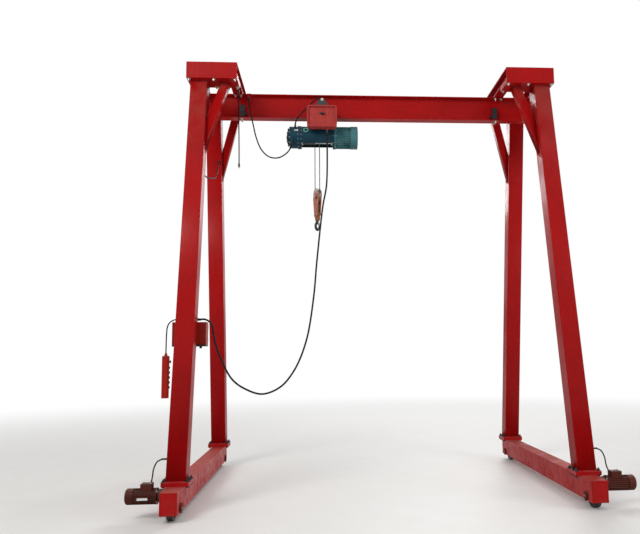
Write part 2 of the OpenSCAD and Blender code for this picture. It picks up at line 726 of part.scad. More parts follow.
// The control box: a deep lid over a body, brackets to the side plate and the glands of its cables
module control_box() color(orange) translate([trolley_x, 0, box_z + box_h / 2]) {
    translate([0, box_back, 0]) rotate([90, 0, 0]) {
        linear_extrude(box_d * 0.55) round_rect(box_w - 14, box_h - 14, box_round);
        translate([0, 0, box_d * 0.5]) linear_extrude(box_d * 0.36) round_rect(box_w, box_h, box_round);
        translate([0, 0, box_d * 0.5]) linear_extrude(box_d * 0.5) difference() {
            round_rect(box_w, box_h, box_round);
            round_rect(box_w - 36, box_h - 36, box_round - 12);
        }
    }
    for (x = [-1, 1]) translate([x * box_arm_x - 15, box_back, 36])
        cube([30, girder_y - plate_out - box_back, 50]);
    translate([60, -110, -box_h / 2]) rotate([180, 0, 0]) gland(control_d);
    translate([box_gland_x, box_gland_y, box_h / 2 - 9]) gland(hoist_cable_d);
}

// A steel hanger over the box, with its arm to the side plate
module box_hanger() color(black) translate([trolley_x, -96, box_z + box_h]) {
    rotate([90, 0, 0]) translate([0, 0, -4]) linear_extrude(8)
        polygon([[-95, 0], [95, 0], [20, 112], [-20, 112]]);
    translate([-20, 0, 30]) cube([40, girder_y - plate_out + 96, 10]);
}

// Rope, block and hook

module at_hook() translate([trolley_x + hook_x, girder_y, sheave_z]) children();

// Two falls and the half turn under the sheave
module ropes() color(steel) at_hook() rotate([0, 0, block_turn]) {
    for (y = [-1, 1]) translate([0, y * sheave_r, 0]) cylinder(h = rope_top - sheave_z, d = rope_d);
    rotate([90, 0, 90]) rotate([0, 0, 180]) rotate_extrude(angle = 180, convexity = 4)
        translate([sheave_r, 0]) circle(d = rope_d, $fn = 32);
}

module sheave() color(steel) at_hook() rotate([0, 0, block_turn]) rotate([0, 90, 0]) {
    half = block_t / 2 - cheek_t - 2;
    groove = rope_d / 2 + track_gap;
    rotate_extrude(convexity = 4) difference() {
        translate([14 + pin_gap, -half]) square([rim_r - 14 - pin_gap, 2 * half]);
        translate([sheave_r, 0]) circle(r = groove, $fn = 32);
        translate([sheave_r, -groove]) square([rim_r - sheave_r + 1, 2 * groove]);
    }
}

module cheek() {
    circle(r = cheek_r, $fn = 64);
    polygon([[-cheek_r, 0], [cheek_r, 0], [60, cross_z - cross_h / 2], [-60, cross_z - cross_h / 2]]);
}

module hook_block() color(orange) at_hook() rotate([0, 0, block_turn]) {
    for (x = [-1, 1]) translate([x > 0 ? block_t / 2 - cheek_t : -block_t / 2, 0, 0])
        rotate([90, 0, 90]) linear_extrude(cheek_t) cheek();
    bar_x(-block_t / 2 - 12, block_t / 2 + 12, 28);
    for (x = [-1, 1]) translate([x * (block_t / 2 + 6), 0, 0]) bar_x(-6, 6, 46);
    inner = block_t - 2 * cheek_t;
    difference() {
        translate([-inner / 2, -50, cross_z - cross_h / 2]) cube([inner, 100, cross_h]);
        translate([0, 0, cross_z - cross_h]) cylinder(h = 2 * cross_h, d = shank_d + 2 * pin_gap);
    }
    translate([-inner / 2, -20, rim_r + 1]) cube([inner, 40, 6]);
}

// A bent round bar: an arc about the origin between two angles
module arc(r, from, to, d) rotate([0, 0, from]) rotate_extrude(angle = to - from, convexity = 4)
    translate([r, 0]) circle(d = d, $fn = 32);

// The hook: a shank with its nut and shoulder, a neck that swings back and a round bowl that ends in a point
module hook() color(black) at_hook() translate([0, 0, cross_z - cross_h / 2]) {
    mid_r = throat_r + hook_t / 2;
    neck_r = -mid_r * cos(neck_a) / (1 + cos(neck_a));
    neck_z = (mid_r + neck_r) * sin(neck_a);
    sunk = 1.5;
    translate([0, 0, neck_z - bowl_drop - sunk])
        cylinder(h = bowl_drop - neck_z + sunk + cross_h + nut_h + 4, d = shank_d);
    translate([0, 0, cross_h + track_gap]) cylinder(h = nut_h, d = block_t - 2 * cheek_t - 1, $fn = 6);
    translate([0, 0, -shoulder_h - track_gap]) cylinder(h = shoulder_h, d = shank_d + 18);
    translate([0, 0, -bowl_drop]) rotate([90, 0, block_turn + hook_turn]) {
        translate([-neck_r, neck_z, 0]) arc(neck_r, neck_a - 180 - sunk, 0, shank_d + 1);
        arc(mid_r, neck_a, tip_a, hook_t);
        rotate([0, 0, tip_a]) translate([mid_r, -sunk, 0]) rotate([-90, 0, 0])
            cylinder(h = tip_l + sunk, d1 = hook_t - 1, d2 = tip_d);
    }
}

girder();
end_stops();
cable_bracket();
top_rails(-1);  // top_rails_left
top_rails(1);  // top_rails_right
top_frame_ends(-1);  // top_frame_ends_left
top_frame_ends(1);  // top_frame_ends_right
head_plates(-1);  // head_plates_left
head_plates(1);  // head_plates_right
leg(-1, -1);  // leg_front_left
leg(1, -1);  // leg_front_right
leg(-1, 1);  // leg_rear_left
leg(1, 1);  // leg_rear_right
knee_braces(-1);  // knee_braces_left
knee_braces(1);  // knee_braces_right
foot_plates(-1);  // foot_plates_left
foot_plates(1);  // foot_plates_right
ground_beam(-1);  // ground_beam_left
ground_beam(1);  // ground_beam_right
bearing_caps(-1);  // bearing_caps_left
bearing_caps(1);  // bearing_caps_right
drive_gearbox(-1);  // drive_gearbox_left
drive_gearbox(1);  // drive_gearbox_right
drive_motor(-1);  // drive_motor_left
drive_motor(1);  // drive_motor_right
wheel(-1, -1);  // wheel_front_left
wheel(1, -1);  // wheel_front_right
wheel(-1, 1);  // wheel_rear_left
wheel(1, 1);  // wheel_rear_right
control_cabinet();
pendant();
pendant_cable();
control_cable();
leg_cable();
leg_glands();
hanging_cable();
drive_cable(-1);  // drive_cable_left
drive_cable(1);  // drive_cable_right
trolley_plates();
trolley_wheels();
suspension_pins();
drum_casing();
rope_drum();
hoist_gearbox();
hoist_motor();
control_box();
box_hanger();
feed_cable();
hoist_cable();
ropes();
hook_block();
sheave();
hook();
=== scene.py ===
# %% [markdown]
# # A travelling gantry crane on a white studio floor
# A gantry crane is a bridge on wheels. Two A-frames carry a girder, and an electric rope hoist runs below the girder
# on a trolley. The CAD model gives every solid its true place and size, so this notebook never moves one. It rounds
# their edges, gives each one its finish, hangs the cables, and adds what is too small for the CAD model: welds,
# bolts, the strands of the rope and the turns of rope on the drum.

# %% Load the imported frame
from math import atan, atan2, copysign, cos, degrees, pi, radians, sin, tan
import bmesh
import bpy
from mathutils import Matrix, Vector


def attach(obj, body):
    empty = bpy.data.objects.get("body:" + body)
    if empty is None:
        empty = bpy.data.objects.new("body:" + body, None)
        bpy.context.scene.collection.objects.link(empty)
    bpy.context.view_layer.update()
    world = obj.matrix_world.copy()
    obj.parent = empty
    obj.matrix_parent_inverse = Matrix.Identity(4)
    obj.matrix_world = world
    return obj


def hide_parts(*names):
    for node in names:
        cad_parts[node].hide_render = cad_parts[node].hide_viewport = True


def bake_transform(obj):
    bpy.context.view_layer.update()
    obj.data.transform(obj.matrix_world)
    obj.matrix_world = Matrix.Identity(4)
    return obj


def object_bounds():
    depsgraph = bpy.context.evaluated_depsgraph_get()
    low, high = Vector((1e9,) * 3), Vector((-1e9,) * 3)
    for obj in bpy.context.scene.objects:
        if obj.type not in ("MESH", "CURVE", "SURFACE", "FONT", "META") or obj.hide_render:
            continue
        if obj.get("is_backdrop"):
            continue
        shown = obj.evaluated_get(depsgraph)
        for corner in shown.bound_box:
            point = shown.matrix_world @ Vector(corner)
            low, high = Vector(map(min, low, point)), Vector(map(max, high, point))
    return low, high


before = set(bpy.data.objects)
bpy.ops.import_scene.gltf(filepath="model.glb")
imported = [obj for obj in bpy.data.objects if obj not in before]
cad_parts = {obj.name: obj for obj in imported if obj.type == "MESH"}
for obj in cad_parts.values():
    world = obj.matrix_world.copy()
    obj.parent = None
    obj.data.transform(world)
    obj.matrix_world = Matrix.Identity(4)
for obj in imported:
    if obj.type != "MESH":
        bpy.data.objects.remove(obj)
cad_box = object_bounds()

def add(name, data):
    """A new object in the scene."""
    made = bpy.data.objects.new(name, data)
    bpy.context.scene.collection.objects.link(made)
    return made


# %% [markdown]
# The sizes below are the CAD model's own, in metres. A piece that is made here sits on a solid, so it takes its
# place from these values or from the solid's box, never from the picture alone.

# %% Sizes shared with the solids
SPAN, GIRDER_Z, GIRDER_H, GIRDER_W = 4.0, 4.375, 0.3, 0.128
FEET, HEADS, MID_Y = 2.7, 1.04, 0.125
LEG_W, BRACE_W, FOOT_PLATE, HEAD_PLATE = 0.19, 0.1, 0.02, 0.025
BEAM_Z, BEAM_H, BEAM_W, OVERALL_L = 0.07, 0.205, 0.16, 3.23
LEG_Z0 = BEAM_Z + BEAM_H + 2 * FOOT_PLATE
GIRDER_TOP = GIRDER_Z + GIRDER_H
LEG_Z1 = GIRDER_TOP - 2 * HEAD_PLATE
LEAN = atan((FEET - HEADS) / 2 / (LEG_Z1 - LEG_Z0))
HEAD_OUT, HEAD_IN = 2.135, 1.565
WHEEL_Y, WHEEL_Z = OVERALL_L / 2 - 0.15, 0.11
DRIVE_Y, DRIVE_Z, DRIVE_OUT = -1.397, 0.21, 2.08
TROLLEY_X, HOIST_Z = -0.6, 4.146
CASING_X0, CASING_X1 = -0.87, -0.45
HOOK_X, SHEAVE_Z, SHEAVE_R, BLOCK_TURN = -0.66, 3.4, 0.088, radians(19)
ROPE_D = 0.011
BOX_Z, BOX_BACK, BOX_D, BOX_H = 4.197, -0.024, 0.146, 0.264
CABINET_X, CABINET_D, CABINET_Z, CABINET_H, ENTRY_Z = -1.994, 0.15, 1.595, 0.25, 1.874
PENDANT_X, PENDANT_Y, PENDANT_Z = -2.219, -0.85, 1.498
UP, DOWN, FRONT, LEFT, RIGHT = (0, 0, 1), (0, 0, -1), (0, -1, 0), (-1, 0, 0), (1, 0, 0)


def leg_point(side, end, p):
    """A point given in a leg's own frame, whose origin is in the middle of its foot and whose Z runs up the leg."""
    a = end * LEAN
    return Vector((side * SPAN / 2 + p[0],
                   MID_Y + end * FEET / 2 + p[1] * cos(a) - p[2] * sin(a),
                   LEG_Z0 + p[1] * sin(a) + p[2] * cos(a)))


def leg_back(z):
    """How far along Y the rear face of a front leg is, at a height."""
    return MID_Y - FEET / 2 + (z - LEG_Z0) * tan(LEAN) + LEG_W / 2 / cos(LEAN)


CABINET_BACK = leg_back(CABINET_Z + CABINET_H) + 0.008
print("legs lean", round(degrees(LEAN), 2), "degrees")

# %% [markdown]
# The photograph was taken from about 8 m away, at chest height and turned slightly up. The crane's own straight
# edges fix that pose, so the camera's place, its three angles, its lens and the shift of its picture were solved
# from them. Seen from there, each solid covers the pixels of the real piece.

# %% Camera at the photograph's viewing angle
EYE, YAW, PITCH, ROLL = Vector((-0.611, -8.078, 1.527)), 0.07488, 0.12165, -0.01365
forward = Vector((sin(YAW) * cos(PITCH), cos(YAW) * cos(PITCH), sin(PITCH)))
right = Vector((cos(YAW), -sin(YAW), 0.0))
up = right.cross(forward)
turned_right = cos(ROLL) * right + sin(ROLL) * up
turned_up = -sin(ROLL) * right + cos(ROLL) * up
lens = bpy.data.cameras.new("camera")
lens.sensor_width, lens.lens, lens.shift_x = 36.0, 38.33, -0.082
camera = add("camera", lens)
camera.matrix_world = Matrix((
    (turned_right.x, turned_up.x, -forward.x, EYE.x),
    (turned_right.y, turned_up.y, -forward.y, EYE.y),
    (turned_right.z, turned_up.z, -forward.z, EYE.z),
    (0, 0, 0, 1)))
bpy.context.scene.camera = camera
print("camera", round((Vector((0, MID_Y, 2.4)) - EYE).length, 2), "m from the middle of the crane")

# %% [markdown]
# A finish is a sum of a few plain ideas: a colour, a second colour where dust lies, a roughness that is never quite
# even, and a fine relief. Written as nodes each idea takes many boxes and wires. Two small classes make it read as
# sums instead. A Value wraps one number socket and turns + - * / into Math nodes, and a Graph adds any other node.

# %% Sums that become nodes
class Value:
    """A number that changes over a surface, or from point to point."""

    def __init__(self, graph, socket):
        self.graph, self.socket = graph, socket

    def math(self, operation, *values):
        return self.graph.node("ShaderNodeMath", {"operation": operation}, dict(enumerate(values)))

    def __add__(self, other):
        return self.math("ADD", self, other)

    def __radd__(self, other):
        return self.math("ADD", other, self)

    def __sub__(self, other):
        return self.math("SUBTRACT", self, other)

    def __rsub__(self, other):
        return self.math("SUBTRACT", other, self)

    def __mul__(self, other):
        return self.math("MULTIPLY", self, other)

    def __rmul__(self, other):
        return self.math("MULTIPLY", other, self)

    def __truediv__(self, other):
        return self.math("DIVIDE", self, other)

    def above(self, low, high):
        """0 below low, 1 above high, and a smooth step between them."""
        return self.graph.node("ShaderNodeMapRange", {"interpolation_type": "SMOOTHSTEP"},
                               {"Value": self, "From Min": low, "From Max": high})


class Graph:
    """A node tree that is written down as sums."""

    def __init__(self, tree):
        self.tree = tree

    def node(self, kind, settings=None, inputs=None, out=0):
        made = self.tree.nodes.new(kind)
        for name, setting in (settings or {}).items():
            if name == "stops":
                while len(made.color_ramp.elements) < len(setting):
                    made.color_ramp.elements.new(0.5)
                for element, (place, colour) in zip(made.color_ramp.elements, setting):
                    element.position, element.color = place, (*colour, 1)
            else:
                setattr(made, name, setting)
        for name, given in (inputs or {}).items():
            if isinstance(given, Value):
                self.tree.links.new(given.socket, made.inputs[name])
            elif isinstance(given, (list, tuple)) and given and isinstance(given[0], Value):
                for one in given:
                    self.tree.links.new(one.socket, made.inputs[name])
            else:
                made.inputs[name].default_value = given
        return Value(self, made.outputs[out]) if made.outputs else made


print("sums become nodes")

# %% [markdown]
# A finish starts from a Principled shader. Its helpers give the masks that most paints need: cloudy noise, streaks
# that run down a surface, dust on faces that look up, and grime near the floor. All of them read Object coordinates.
# The solids sit at the origin, so these are also the crane's own metres.

# %% A finish and its masks
class Finish(Graph):
    def __init__(self, name, **constants):
        self.material = bpy.data.materials.new(name)
        self.material.use_nodes = True
        super().__init__(self.material.node_tree)
        self.tree.nodes.clear()
        self.shader = self.tree.nodes.new("ShaderNodeBsdfPrincipled")
        output = self.tree.nodes.new("ShaderNodeOutputMaterial")
        self.tree.links.new(self.shader.outputs[0], output.inputs[0])
        for socket, number in constants.items():
            self.shader.inputs[socket.replace("_", " ")].default_value = number
        self.place = self.node("ShaderNodeTexCoord", out="Object")

    def stretched(self, scale):
        return self.node("ShaderNodeMapping", {}, {"Vector": self.place, "Scale": scale})

    def noise(self, scale, detail=3.0, roughness=0.55, stretch=None):
        vector = self.stretched(stretch) if stretch else self.place
        return self.node("ShaderNodeTexNoise", {}, {
            "Vector": vector, "Scale": scale, "Detail": detail, "Roughness": roughness})

    def cells(self, scale, feature="F1", out="Distance"):
        return self.node("ShaderNodeTexVoronoi", {"feature": feature}, {"Vector": self.place, "Scale": scale}, out)

    def axis(self, name):
        return self.node("ShaderNodeSeparateXYZ", {}, {"Vector": self.place}, name)

    def facing_up(self):
        normal = self.node("ShaderNodeNewGeometry", out="Normal")
        return self.node("ShaderNodeSeparateXYZ", {}, {"Vector": normal}, "Z")

    def mix(self, mask, a, b):
        a, b = (c if isinstance(c, Value) else (*c, 1) for c in (a, b))
        return self.node("ShaderNodeMix", {"data_type": "RGBA"}, {0: mask, 6: a, 7: b}, 2)

    def relief(self, height, depth, below=None):
        """A Bump node: height from 0 to 1 stands for a depth in metres."""
        inputs = {"Height": height, "Strength": 1.0, "Distance": depth}
        if below:
            inputs["Normal"] = below
        return self.node("ShaderNodeBump", {}, inputs)

    def set(self, **sockets):
        for name, given in sockets.items():
            socket = self.shader.inputs[name.replace("_", " ")]
            self.tree.links.new(given.socket, socket)
        return self.material


print("finishes ready")

# %% [markdown]
# ## The red enamel
# The portal was brushed and rolled with a thick glossy enamel in the shop. Up close that shows as faint streaks
# along each member, slightly darker and lighter areas, pale dust on every top face, and a brown film with scuffs
# near the floor, where the beams are kicked and splashed. The relief is a fraction of a millimetre deep.

# %% Red enamel
def times(colour, share):
    """A paler or a darker colour."""
    return tuple(min(1, share * c) for c in colour)


def enamel(name, colour, dark, gloss=0.3, dust_amount=0.3, streaks=(9.0, 9.0, 0.7), pale_top_greasy_bottom=False):
    paint = Finish(name, Coat_Roughness=0.16, Specular_IOR_Level=0.085)
    cloud = paint.noise(1.7, 4.0).above(0.35, 0.7)
    brushed = paint.noise(7.0, 2.0, stretch=streaks)
    shade = paint.mix(cloud * 0.55, colour, dark)
    shade = paint.mix(brushed.above(0.42, 0.72) * 0.34, shade, times(colour, 1.35))
    low = 1 - paint.axis("Z").above(0.02, 0.55)
    grime = paint.noise(11.0, 5.0).above(0.4, 0.72) * low
    shade = paint.mix(grime * 0.24, shade, (0.085, 0.045, 0.03))
    dust = paint.facing_up().above(0.55, 0.95) * paint.noise(5.0, 4.0).above(0.25, 0.65)
    shade = paint.mix(dust * dust_amount, shade, (0.34, 0.24, 0.2))
    chips = paint.noise(34.0, 5.0, 0.65).above(0.7, 0.73) * low
    shade = paint.mix(chips, shade, (0.05, 0.04, 0.036))
    if pale_top_greasy_bottom:
        # On the hook block: pale grey patches toward its top, above the sheave's axis, and a brown greasy film low down
        patches = paint.noise(30.0, 4.0).above(0.34, 0.58)
        bare = paint.axis("Z").above(SHEAVE_Z + 0.005, SHEAVE_Z + 0.085) * patches
        greasy = (1 - paint.axis("Z").above(SHEAVE_Z - 0.26, SHEAVE_Z - 0.15)) * patches
        shade = paint.mix(greasy * 0.7, shade, (0.16, 0.105, 0.05))
        shade = paint.mix(bare * 0.9, shade, (0.42, 0.41, 0.39))
    rough = gloss + 0.14 * cloud + 0.35 * dust + 0.3 * grime + 0.3 * chips
    peel = paint.relief(paint.noise(190.0, 2.0), 0.00012)
    runs = paint.relief(brushed, 0.0006, peel)
    return paint.set(Base_Color=shade, Roughness=rough, Normal=runs, Coat_Weight=0.04 - 0.03 * dust)


RED, DARK_RED = (0.345, 0.0045, 0.005), (0.25, 0.0034, 0.0036)
red = enamel("red_enamel", RED, DARK_RED)
red_along_x = enamel("red_enamel_along_x", RED, DARK_RED, streaks=(0.7, 9.0, 9.0))
red_along_y = enamel("red_enamel_along_y", RED, DARK_RED, streaks=(9.0, 0.7, 9.0))
print(red.name, len(red.node_tree.nodes), "nodes")

# %% [markdown]
# The machine makers' own paints are duller. The cabinet and the travel motors are a dark red that has gone matt;
# the motors, their bearing caps and the trolley's side plates take a much darker copy of it, which is painted shade.
# The travel gearboxes are a dark green-grey, and the hoist body a teal hammer finish, whose small dimples break every
# highlight into a grain. The control box and the hook block are orange-red.

# %% Machine paints
cabinet_red = enamel("cabinet_red", (0.24, 0.013, 0.006), (0.16, 0.009, 0.004), 0.38, 0.35)
# A much darker copy of the cabinet's red: painted shade on the travel motors, their bearing caps and the trolley's side
# plates
motor_red = enamel("motor_red", (0.075, 0.014, 0.009), (0.04, 0.009, 0.006), 0.46, 0.4, (3.0, 3.0, 3.0))
gear_green = enamel("gear_green", (0.046, 0.044, 0.03), (0.026, 0.025, 0.018), 0.44, 0.4, (3.0, 3.0, 3.0))
orange = enamel("orange_enamel", (0.38, 0.046, 0.04), (0.3, 0.032, 0.028), 0.3, 0.2, (6.0, 6.0, 1.5))
block_orange = enamel("block_orange", (0.34, 0.085, 0.034), (0.21, 0.05, 0.022), 0.34, 0.3, (6.0, 6.0, 1.5), True)


def hammered(name, colour, dark):
    paint = Finish(name, Coat_Roughness=0.2, Specular_IOR_Level=0.12)
    dimples = paint.cells(240.0)
    cloud = paint.noise(6.0, 4.0).above(0.35, 0.68)
    shade = paint.mix(cloud * 0.7, colour, dark)
    shade = paint.mix(dimples.above(0.25, 0.75) * 0.25, shade, times(colour, 1.7))
    dust = paint.facing_up().above(0.45, 0.95) * paint.noise(18.0, 4.0).above(0.3, 0.62)
    shade = paint.mix(dust * 0.38, shade, (0.3, 0.29, 0.26))
    oil = paint.noise(9.0, 3.0, stretch=(1.0, 1.0, 0.25)).above(0.62, 0.7)
    shade = paint.mix(oil * 0.5, shade, times(dark, 0.35))
    rough = 0.3 + 0.16 * cloud + 0.35 * dust - 0.12 * oil
    grain = paint.relief(dimples, 0.0005, paint.relief(paint.noise(60.0, 2.0), 0.0004))
    return paint.set(Base_Color=shade, Roughness=rough, Normal=grain, Coat_Weight=0.06 - 0.05 * dust)


teal = hammered("teal_hammer", (0.005, 0.038, 0.06), (0.003, 0.023, 0.04))
pale_teal = hammered("pale_teal_hammer", (0.052, 0.155, 0.17), (0.026, 0.095, 0.112))
print("machine paints", [m.name for m in (cabinet_red, motor_red, gear_green, orange, block_orange, teal)])

# %% [markdown]
# The rest is metal, rubber and plastic. Bare steel shows fine marks of the tool, a dull film and a few brown spots.
# The wheels' cast iron is rough and dark, with some rust.

# %% Metals
def metal(name, colour, dark, rough=0.32, film=0.4, grain=90.0, depth=0.00012):
    steel = Finish(name, Metallic=1.0)
    cloud = steel.noise(14.0, 5.0).above(0.35, 0.7)
    marks = steel.noise(grain, 3.0)
    shade = steel.mix(cloud * film, colour, dark)
    shade = steel.mix(marks.above(0.5, 0.8) * 0.25, shade, times(colour, 1.3))
    spots = steel.noise(55.0, 5.0, 0.6).above(0.66, 0.74)
    shade = steel.mix(spots * 0.6, shade, (0.1, 0.045, 0.02))
    return steel.set(Base_Color=shade, Roughness=rough + 0.22 * cloud + 0.3 * spots,
                     Metallic=1 - 0.7 * spots, Normal=steel.relief(marks, depth))


bare_steel = metal("bare_steel", (0.46, 0.46, 0.45), (0.2, 0.19, 0.18))
zinc = metal("zinc_bolts", (0.52, 0.51, 0.47), (0.26, 0.24, 0.2), 0.36)
rope_wire = metal("rope_wire", (0.15, 0.145, 0.14), (0.06, 0.056, 0.052), 0.46, 0.6, 400.0)
pale_alloy = metal("pale_alloy", (0.72, 0.73, 0.74), (0.5, 0.5, 0.5), 0.3, 0.3)
black_steel = metal("black_steel", (0.055, 0.055, 0.06), (0.025, 0.025, 0.028), 0.42, 0.6, 70.0, 0.0002)


def cast_iron(name):
    iron = Finish(name, Metallic=1.0)
    sand = iron.noise(130.0, 4.0)
    cloud = iron.noise(9.0, 4.0).above(0.35, 0.7)
    shade = iron.mix(cloud * 0.7, (0.085, 0.08, 0.076), (0.04, 0.036, 0.033))
    rust = iron.noise(22.0, 5.0).above(0.58, 0.72)
    shade = iron.mix(rust * 0.5, shade, (0.16, 0.065, 0.03))
    return iron.set(Base_Color=shade, Roughness=0.48 + 0.25 * cloud + 0.15 * rust, Metallic=0.9 - 0.7 * rust,
                    Normal=iron.relief(sand, 0.0006))


wheel_iron = cast_iron("wheel_iron")
print("metals", [m.name for m in (bare_steel, zinc, rope_wire, pale_alloy, black_steel, wheel_iron)])

# %% [markdown]
# Black rubber is matt with a bloom of dust. The pendant is a moulded red plastic with the fine grain of its mould.

# %% Rubber and plastic
def moulded(name, colour, dark, rough, grain, depth, dust_amount=0.3, gloss=0.2):
    shell = Finish(name, Specular_IOR_Level=gloss)
    cloud = shell.noise(20.0, 4.0).above(0.35, 0.7)
    shade = shell.mix(cloud * 0.6, colour, dark)
    dust = shell.noise(45.0, 5.0).above(0.45, 0.75)
    shade = shell.mix(dust * dust_amount, shade, (0.2, 0.18, 0.16))
    return shell.set(Base_Color=shade, Roughness=rough + 0.2 * dust,
                     Normal=shell.relief(shell.noise(grain, 2.0), depth))


sheath = moulded("cable_sheath", (0.013, 0.013, 0.014), (0.008, 0.008, 0.009), 0.6, 500.0, 0.00015, 0.1, 0.07)
buffer_rubber = moulded("buffer_rubber", (0.02, 0.02, 0.02), (0.012, 0.012, 0.012), 0.62, 300.0, 0.0003)
red_plastic = moulded("red_plastic", (0.38, 0.013, 0.006), (0.29, 0.01, 0.005), 0.36, 700.0, 0.0001, 0.06, 0.12)
black_plastic = moulded("black_plastic", (0.022, 0.022, 0.024), (0.014, 0.014, 0.015), 0.4, 700.0, 0.0001, 0.12)
green_plastic = moulded("green_plastic", (0.02, 0.2, 0.06), (0.015, 0.14, 0.045), 0.35, 700.0, 0.0001, 0.1)
white_plastic = moulded("white_plastic", (0.78, 0.78, 0.75), (0.66, 0.66, 0.62), 0.4, 700.0, 0.0001, 0.1)
ring_enamel = moulded("ring_enamel", (0.16, 0.46, 0.32), (0.1, 0.34, 0.24), 0.35, 300.0, 0.0001, 0.15)
print("rubber and plastic ready")

# %% [markdown]
# ## Light and floor
# The crane stands on a plain pale floor in soft studio light: a bright, even sky from all round, one large lamp from
# the front left and a weaker one behind, which draws a thin highlight along the edges. The floor fades to white with
# distance, so no horizon cuts the picture.

# %% Studio
def lamp(name, place, target, size, watts, colour=(1, 1, 1)):
    light = bpy.data.lights.new(name, "AREA")
    light.shape, light.size, light.energy, light.color = "DISK", size, watts, colour
    made = add(name, light)
    made.location = place
    made.rotation_euler = (Vector(target) - Vector(place)).to_track_quat("-Z", "Y").to_euler()


lamp("key", (-6.5, -8.0, 8.5), (0, 0, 2.2), 5.0, 640, (1.0, 0.985, 0.96))
lamp("fill", (8.0, -6.0, 4.0), (0, 0, 2.0), 6.0, 300, (0.96, 0.98, 1.0))
lamp("edge", (3.0, 9.0, 8.0), (0, 0, 2.6), 5.0, 520)

world = bpy.data.worlds.new("studio")
bpy.context.scene.world = world
world.use_nodes = True
world.node_tree.nodes.clear()
sky = Graph(world.node_tree)
# The camera and the mirror images see a white sky, but only a share of its light falls on the crane
LIT_BY_SKY = 0.44
camera_ray, mirrored, let_through = (
    sky.node("ShaderNodeLightPath", out=f"Is {kind} Ray") for kind in ("Camera", "Glossy", "Transmission"))
strength = LIT_BY_SKY + (1 - LIT_BY_SKY) * (camera_ray + mirrored + let_through)
background = sky.node("ShaderNodeBackground", {}, {"Color": (1, 1, 1, 1), "Strength": strength})
sky.node("ShaderNodeOutputWorld", {}, {"Surface": background})
bpy.context.scene.view_settings.view_transform = "Standard"

FLOOR, FADE = 60, (3.5, 16.0)
floor_mesh = bpy.data.meshes.new("floor")
floor_mesh.from_pydata([(x * FLOOR, y * FLOOR, 0) for x, y in ((-1, -1), (1, -1), (1, 1), (-1, 1))], [], [(0, 1, 2, 3)])
floor = add("floor", floor_mesh)
floor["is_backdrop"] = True
pale = Finish("pale_floor", Roughness=0.55)
distance = pale.node("ShaderNodeVectorMath", {"operation": "LENGTH"}, {0: pale.place}, "Value")
pale.set(Base_Color=pale.mix(pale.noise(3.0, 4.0), (0.72, 0.71, 0.69), (0.78, 0.775, 0.76)))
far_white = pale.node("ShaderNodeEmission", {}, {"Color": (1, 1, 1, 1), "Strength": 1.0})
fade = distance.above(*FADE) * pale.node("ShaderNodeLightPath", out="Is Camera Ray")
blended = pale.tree.nodes.new("ShaderNodeMixShader")
pale.tree.links.new(fade.socket, blended.inputs[0])
pale.tree.links.new(pale.shader.outputs[0], blended.inputs[1])
pale.tree.links.new(far_white.socket, blended.inputs[2])
pale.tree.links.new(blended.outputs[0], pale.tree.nodes["Material Output"].inputs[0])
floor_mesh.materials.append(pale.material)
print("studio lit by 3 lamps and the sky")

# %% [markdown]
# ## The solids get their finish
# A real edge is never sharp: plates are ground, tubes are rolled and castings are rounded. A Bevel modifier draws
# that small radius, and it also catches the light. The frame's meshes are loose triangles, so a Weld modifier joins
# them first and a planar Decimate makes whole faces of them. The vertices of the solid itself stay as they are.

# %% Rounded edges and finishes
def cover(mesh, material, smooth=True):
    """One material on every face of a mesh."""
    mesh.materials.clear()
    mesh.materials.append(material)
    for polygon in mesh.polygons:
        polygon.material_index, polygon.use_smooth = 0, smooth


def round_edges(piece, radius, segments=2, angle=30.0):
    bevel = piece.modifiers.new("round_edges", "BEVEL")
    bevel.width, bevel.segments, bevel.limit_method = radius, segments, "ANGLE"
    bevel.angle_limit, bevel.harden_normals = radians(angle), True


def dress(node, material, radius):
    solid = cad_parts[node]
    cover(solid.data, material)
    if "custom_normal" in solid.data.attributes:
        solid.data.attributes.remove(solid.data.attributes["custom_normal"])
    solid.modifiers.new("join", "WELD").merge_threshold = 0.00002
    if radius:
        flat = solid.modifiers.new("whole_faces", "DECIMATE")
        flat.decimate_type, flat.angle_limit = "DISSOLVE", radians(1.0)
        round_edges(solid, radius, angle=38.0)


# The radii are in millimetres, and a star stands for the left and the right one
for material, radius, names in [
        (red_along_x, 2.5, "girder"), (red, 1, "cable_bracket"), (black_steel, 1.5, "end_stops box_hanger"),
        (red, 2, "top_frame_ends_* head_plates_* foot_plates_*"), (red_along_y, 2, "top_rails_* ground_beam_*"),
        (red, 0, "leg_front_* leg_rear_* knee_braces_*"), (motor_red, 2, "bearing_caps_*"),
        (gear_green, 1.5, "drive_gearbox_*"), (motor_red, 1.2, "drive_motor_*"),
        (wheel_iron, 0, "wheel_front_* wheel_rear_*"), (cabinet_red, 2, "control_cabinet"), (red_plastic, 4, "pendant"),
        (black_plastic, 1, "leg_glands"), (motor_red, 1.5, "trolley_plates"), (bare_steel, 1, "trolley_wheels"),
        (bare_steel, 2, "suspension_pins"), (teal, 2, "drum_casing"), (bare_steel, 0, "rope_drum sheave"),
        (teal, 3, "hoist_gearbox"), (pale_teal, 2, "hoist_motor"), (orange, 4, "control_box"),
        (block_orange, 2, "hook_block"), (black_steel, 0, "hook")]:
    for name in names.split():
        for side in ("left", "right") if "*" in name else ("",):
            dress(name.replace("*", side), material, radius / 1000)
print("dressed", len(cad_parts), "solids")

# %% [markdown]
# ## Cables
# Each cable is a fixed length that leaves its gland straight and hangs in one smooth curve. The CAD route gives a
# few points, a spline through them gives the curve, and rings of points are swept along it. The rings turn as
# little as they can from one to the next, so the sheath never twists. Whatever is turned, bent or swept further down
# is also a skin over rings, so a few small functions make them all.

# %% A smooth path and a skin over rings
STEPS = 24


